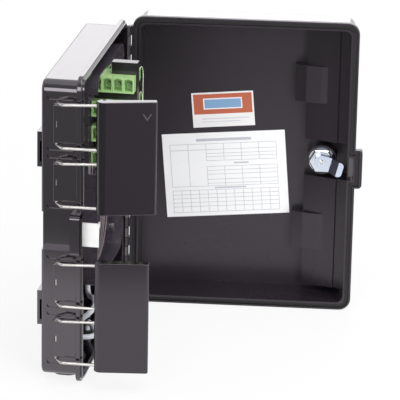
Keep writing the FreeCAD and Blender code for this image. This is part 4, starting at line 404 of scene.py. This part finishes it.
finishes = {"strands": strandFinish(), "label": labelPrint(), "log": logPrint()}
for metalName in metalLook:
    finishes[metalName] = brightMetal(metalName)
for blackName in blackLook:
    finishes[blackName] = mouldedBlack(blackName)
for smokeName in smokeLook:
    finishes[smokeName] = smokeClear(smokeName)
for colourName in plasticLook:
    finishes[colourName] = mouldedColour(colourName)
wornBy = {
    "baseBlack": ["base_shell", "upper_wall_bracket", "lower_wall_bracket", "cable_clamp"],
    "lidBlack": ["lid_shell"], "leverBlack": ["upper_latch_lever", "lower_latch_lever"],
    "stainless": ["upper_outer_bail", "upper_inner_bail", "lower_inner_bail", "lower_outer_bail",
                  "hinge_pin"],
    "chromed": ["lock_body", "lock_washer", "lock_nut", "lock_plug", "cam_screw"],
    "camSteel": ["lock_cam"],
    "zinc": ["bracket_screws", "strike_screws", "clamp_screws", "tray_screws", "frame_screws"],
    "whitePlate": ["strike_plate"], "holderGrey": ["splice_holder"], "frameBlack": ["adapter_frame"],
    "smokeTray": ["splice_tray"], "smokeCover": ["tray_cover"], "smokeSleeve": ["splice_sleeves"],
    "plugGreen": ["pigtail_connectors"], "ferruleGreen": ["ferrule_sleeves"],
    "tubeWhite": ["transport_tube"], "cordPale": ["fibre_coil", "pigtails"],
    "sealRubber": ["lid_gasket", "cable_grommet_1", "cable_grommet_2", "cable_grommet_3"],
    "label": ["label_card"], "log": ["log_sheet"],
    "adapterGreen": [name for name in nodes if name.startswith("adapter_") and name != "adapter_frame"],
}
for finish, wearers in wornBy.items():
    for wearer in wearers:
        slots = nodes[wearer].data.materials
        slots.clear()
        slots.append(finishes[finish])
print("finishes on", sum(len(wearers) for wearers in wornBy.values()), "nodes")


def fibreTurns():
    # the turns of bare fibre that lie in the tray, in place of the one solid ring
    dice = random.Random(strandLook["seed"])
    curve = bpy.data.curves.new("fibreTurns", "CURVE")
    curve.dimensions = "3D"
    curve.bevel_depth = strandLook["radius"]
    curve.bevel_resolution = 2
    curve.resolution_u = 3
    middleX, middleZ = strandLook["centre"]
    count, points = strandLook["count"], strandLook["points"]
    narrow, wideMost = strandLook["across"]
    short, tallMost = strandLook["tall"]
    squareX, squareZ = strandLook["square"]
    for turn in range(count):
        share = ((turn * strandLook["hop"]) % count + strandLook["stray"] * dice.random()) / count
        across = narrow + share * (wideMost - narrow)
        tall = short + share * (tallMost - short)
        depth = strandLook["front"] + turn * strandLook["layer"]
        lean = dice.uniform(-strandLook["lean"], strandLook["lean"])
        spline = curve.splines.new("NURBS")
        spline.points.add(points - 1)
        for index, point in enumerate(spline.points):
            angle = math.tau * index / points
            wide, high = math.cos(angle), math.sin(angle)
            x = middleX + across * math.copysign(abs(wide) ** squareX, wide) + lean * high
            z = middleZ + tall * math.copysign(abs(high) ** squareZ, high)
            point.co = (x, depth, z, 1)
        spline.use_cyclic_u = True
        spline.order_u = 4
    drawn = bpy.data.objects.new("fibreTurns", curve)
    scene.collection.objects.link(drawn)
    mesh = bpy.data.meshes.new_from_object(drawn)
    bpy.data.objects.remove(drawn)
    mesh.materials.clear()
    mesh.materials.append(finishes["strands"])
    mesh.shade_smooth()
    piece = bpy.data.objects.new("fibreTurns", mesh)
    scene.collection.objects.link(piece)
    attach(piece, "base")
    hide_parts("fibre_coil")
    print("fibre turns in the tray:", count)


fibreTurns()


cameraFit = {"azimuth": -81.283, "elevation": 18.645, "roll": 1.12, "distance": 2.78589, "pixels": 2892.093,
             "shift": (0.093071, -0.002621), "rim": -0.043, "sensor": 36, "frame": 400, "reach": 50}


def photoCamera():
    azimuth, elevation, roll = (math.radians(cameraFit[key]) for key in ("azimuth", "elevation", "roll"))
    flat = math.cos(elevation)
    back = Vector((math.sin(azimuth) * flat, -math.cos(azimuth) * flat, math.sin(elevation)))
    right = Vector((0, 0, 1)).cross(back).normalized()
    up = back.cross(right)
    tiltRight = right * math.cos(roll) + up * math.sin(roll)
    tiltUp = up * math.cos(roll) - right * math.sin(roll)
    across, rise = cameraFit["shift"]
    middle = Vector((0, cameraFit["rim"], 0))
    eye = tiltRight * across + tiltUp * rise + back * cameraFit["distance"] + middle
    data = bpy.data.cameras.new("photoCamera")
    data.sensor_width = cameraFit["sensor"]
    data.lens = cameraFit["pixels"] / cameraFit["frame"] * cameraFit["sensor"]
    data.clip_end = cameraFit["reach"]
    camera = bpy.data.objects.new("photoCamera", data)
    turn = Matrix((tiltRight, tiltUp, back)).transposed().to_4x4()
    camera.matrix_world = Matrix.Translation(eye) @ turn
    scene.collection.objects.link(camera)
    scene.camera = camera


studio = {"floorSize": 12.0, "floorColour": rgb(0.86, 0.86, 0.86), "floorPaler": rgb(0.89, 0.89, 0.89),
          "floorWhite": 0.84, "fadeFrom": -0.35, "fadeTo": -0.52, "fadeLeft": 0.145,
          "skyLight": 0.55, "skyDim": 0.35, "dimFrom": -0.75, "dimTo": 0.1}
lamps = {
    "overhead": {"at": (-0.5, -0.7, 1.9), "aim": (0.0, -0.1, 0.0), "size": (1.6, 1.6), "watts": 26},
    "backBand": {"at": (1.9, 0.2, 0.85), "aim": (0.0, 0.0, 0.1), "size": (2.2, 0.8), "watts": 10.4},
    "front": {"at": (-1.6, -1.5, 0.5), "aim": (0.05, -0.1, 0.0), "size": (0.9, 1.3), "watts": 19},
    "fill": {"at": (-2.0, 0.35, 0.5), "aim": (0.1, -0.15, 0.0), "size": (1.0, 1.0), "watts": 11},
}


def rayKinds(tree):
    ray = tree.nodes.new("ShaderNodeLightPath")
    camera = Wire(tree, ray.outputs["Is Camera Ray"])
    mirrored = Wire(tree, ray.outputs["Is Glossy Ray"])
    through = Wire(tree, ray.outputs["Is Transmission Ray"])
    return camera, mirrored, through


def whiteRoom():
    floorMesh = bpy.data.meshes.new("floor")
    half = studio["floorSize"] / 2
    low = cadBox[0][2]
    corners = [(-half, -half, low), (half, -half, low), (half, half, low), (-half, half, low)]
    floorMesh.from_pydata(corners, [], [(0, 1, 2, 3)])
    floor = bpy.data.objects.new("floor", floorMesh)
    scene.collection.objects.link(floor)
    material, shader, place = newFinish("floorPale", Roughness=0.7)
    feed(shader, Base_Color=place.noise(3, 2).blend(studio["floorColour"], studio["floorPaler"]))
    tree = material.node_tree
    camera, mirrored, through = rayKinds(tree)
    seen = (camera + mirrored + through > 0.5)
    # reflections see the floor fade to grey away from the object's front
    near = place.along((1, 0, 0)).smooth(studio["fadeTo"], studio["fadeFrom"])
    fade = near * (1 - studio["fadeLeft"]) + studio["fadeLeft"]
    white = camera + (1 - camera) * fade
    shown = seen.node("ShaderNodeCombineColor", None, {0: white, 1: white, 2: white})
    glow = seen.node("ShaderNodeEmission", None, {"Color": shown, "Strength": 1.0})
    lit = Wire(tree, shader.outputs[0])
    mixed = seen.node("ShaderNodeMixShader", None, {0: seen * studio["floorWhite"], 1: lit, 2: glow})
    tree.links.new(mixed.socket, tree.nodes["Material Output"].inputs["Surface"])
    floorMesh.materials.append(material)
    world = bpy.data.worlds.new("whiteSky")
    scene.world = world
    world.use_nodes = True
    tree = world.node_tree
    sky = tree.nodes["Background"]
    camera, mirrored, through = rayKinds(tree)
    seen = (camera + mirrored + through > 0.5)
    facing = Wire(tree, tree.nodes.new("ShaderNodeTexCoord").outputs["Generated"]).along((1, 0, 0))
    bright = facing.smooth(studio["dimFrom"], studio["dimTo"])
    dimmed = bright * (1 - studio["skyDim"]) + studio["skyDim"]
    shown = camera + (1 - camera) * dimmed
    strength = seen * shown + (1 - seen) * studio["skyLight"]
    sky.inputs["Color"].default_value = rgb(1, 1, 1)
    tree.links.new(strength.socket, sky.inputs["Strength"])
    for name, look in lamps.items():
        data = bpy.data.lights.new(name, "AREA")
        data.shape = "RECTANGLE"
        data.size, data.size_y = look["size"]
        data.energy = look["watts"]
        lamp = bpy.data.objects.new(name, data)
        lamp.location = look["at"]
        toward = Vector(look["aim"]) - Vector(look["at"])
        lamp.rotation_euler = toward.to_track_quat("-Z", "Y").to_euler()
        scene.collection.objects.link(lamp)


photoCamera()
whiteRoom()
scene.view_settings.view_transform = "Standard"
print("camera, floor and lamps set")
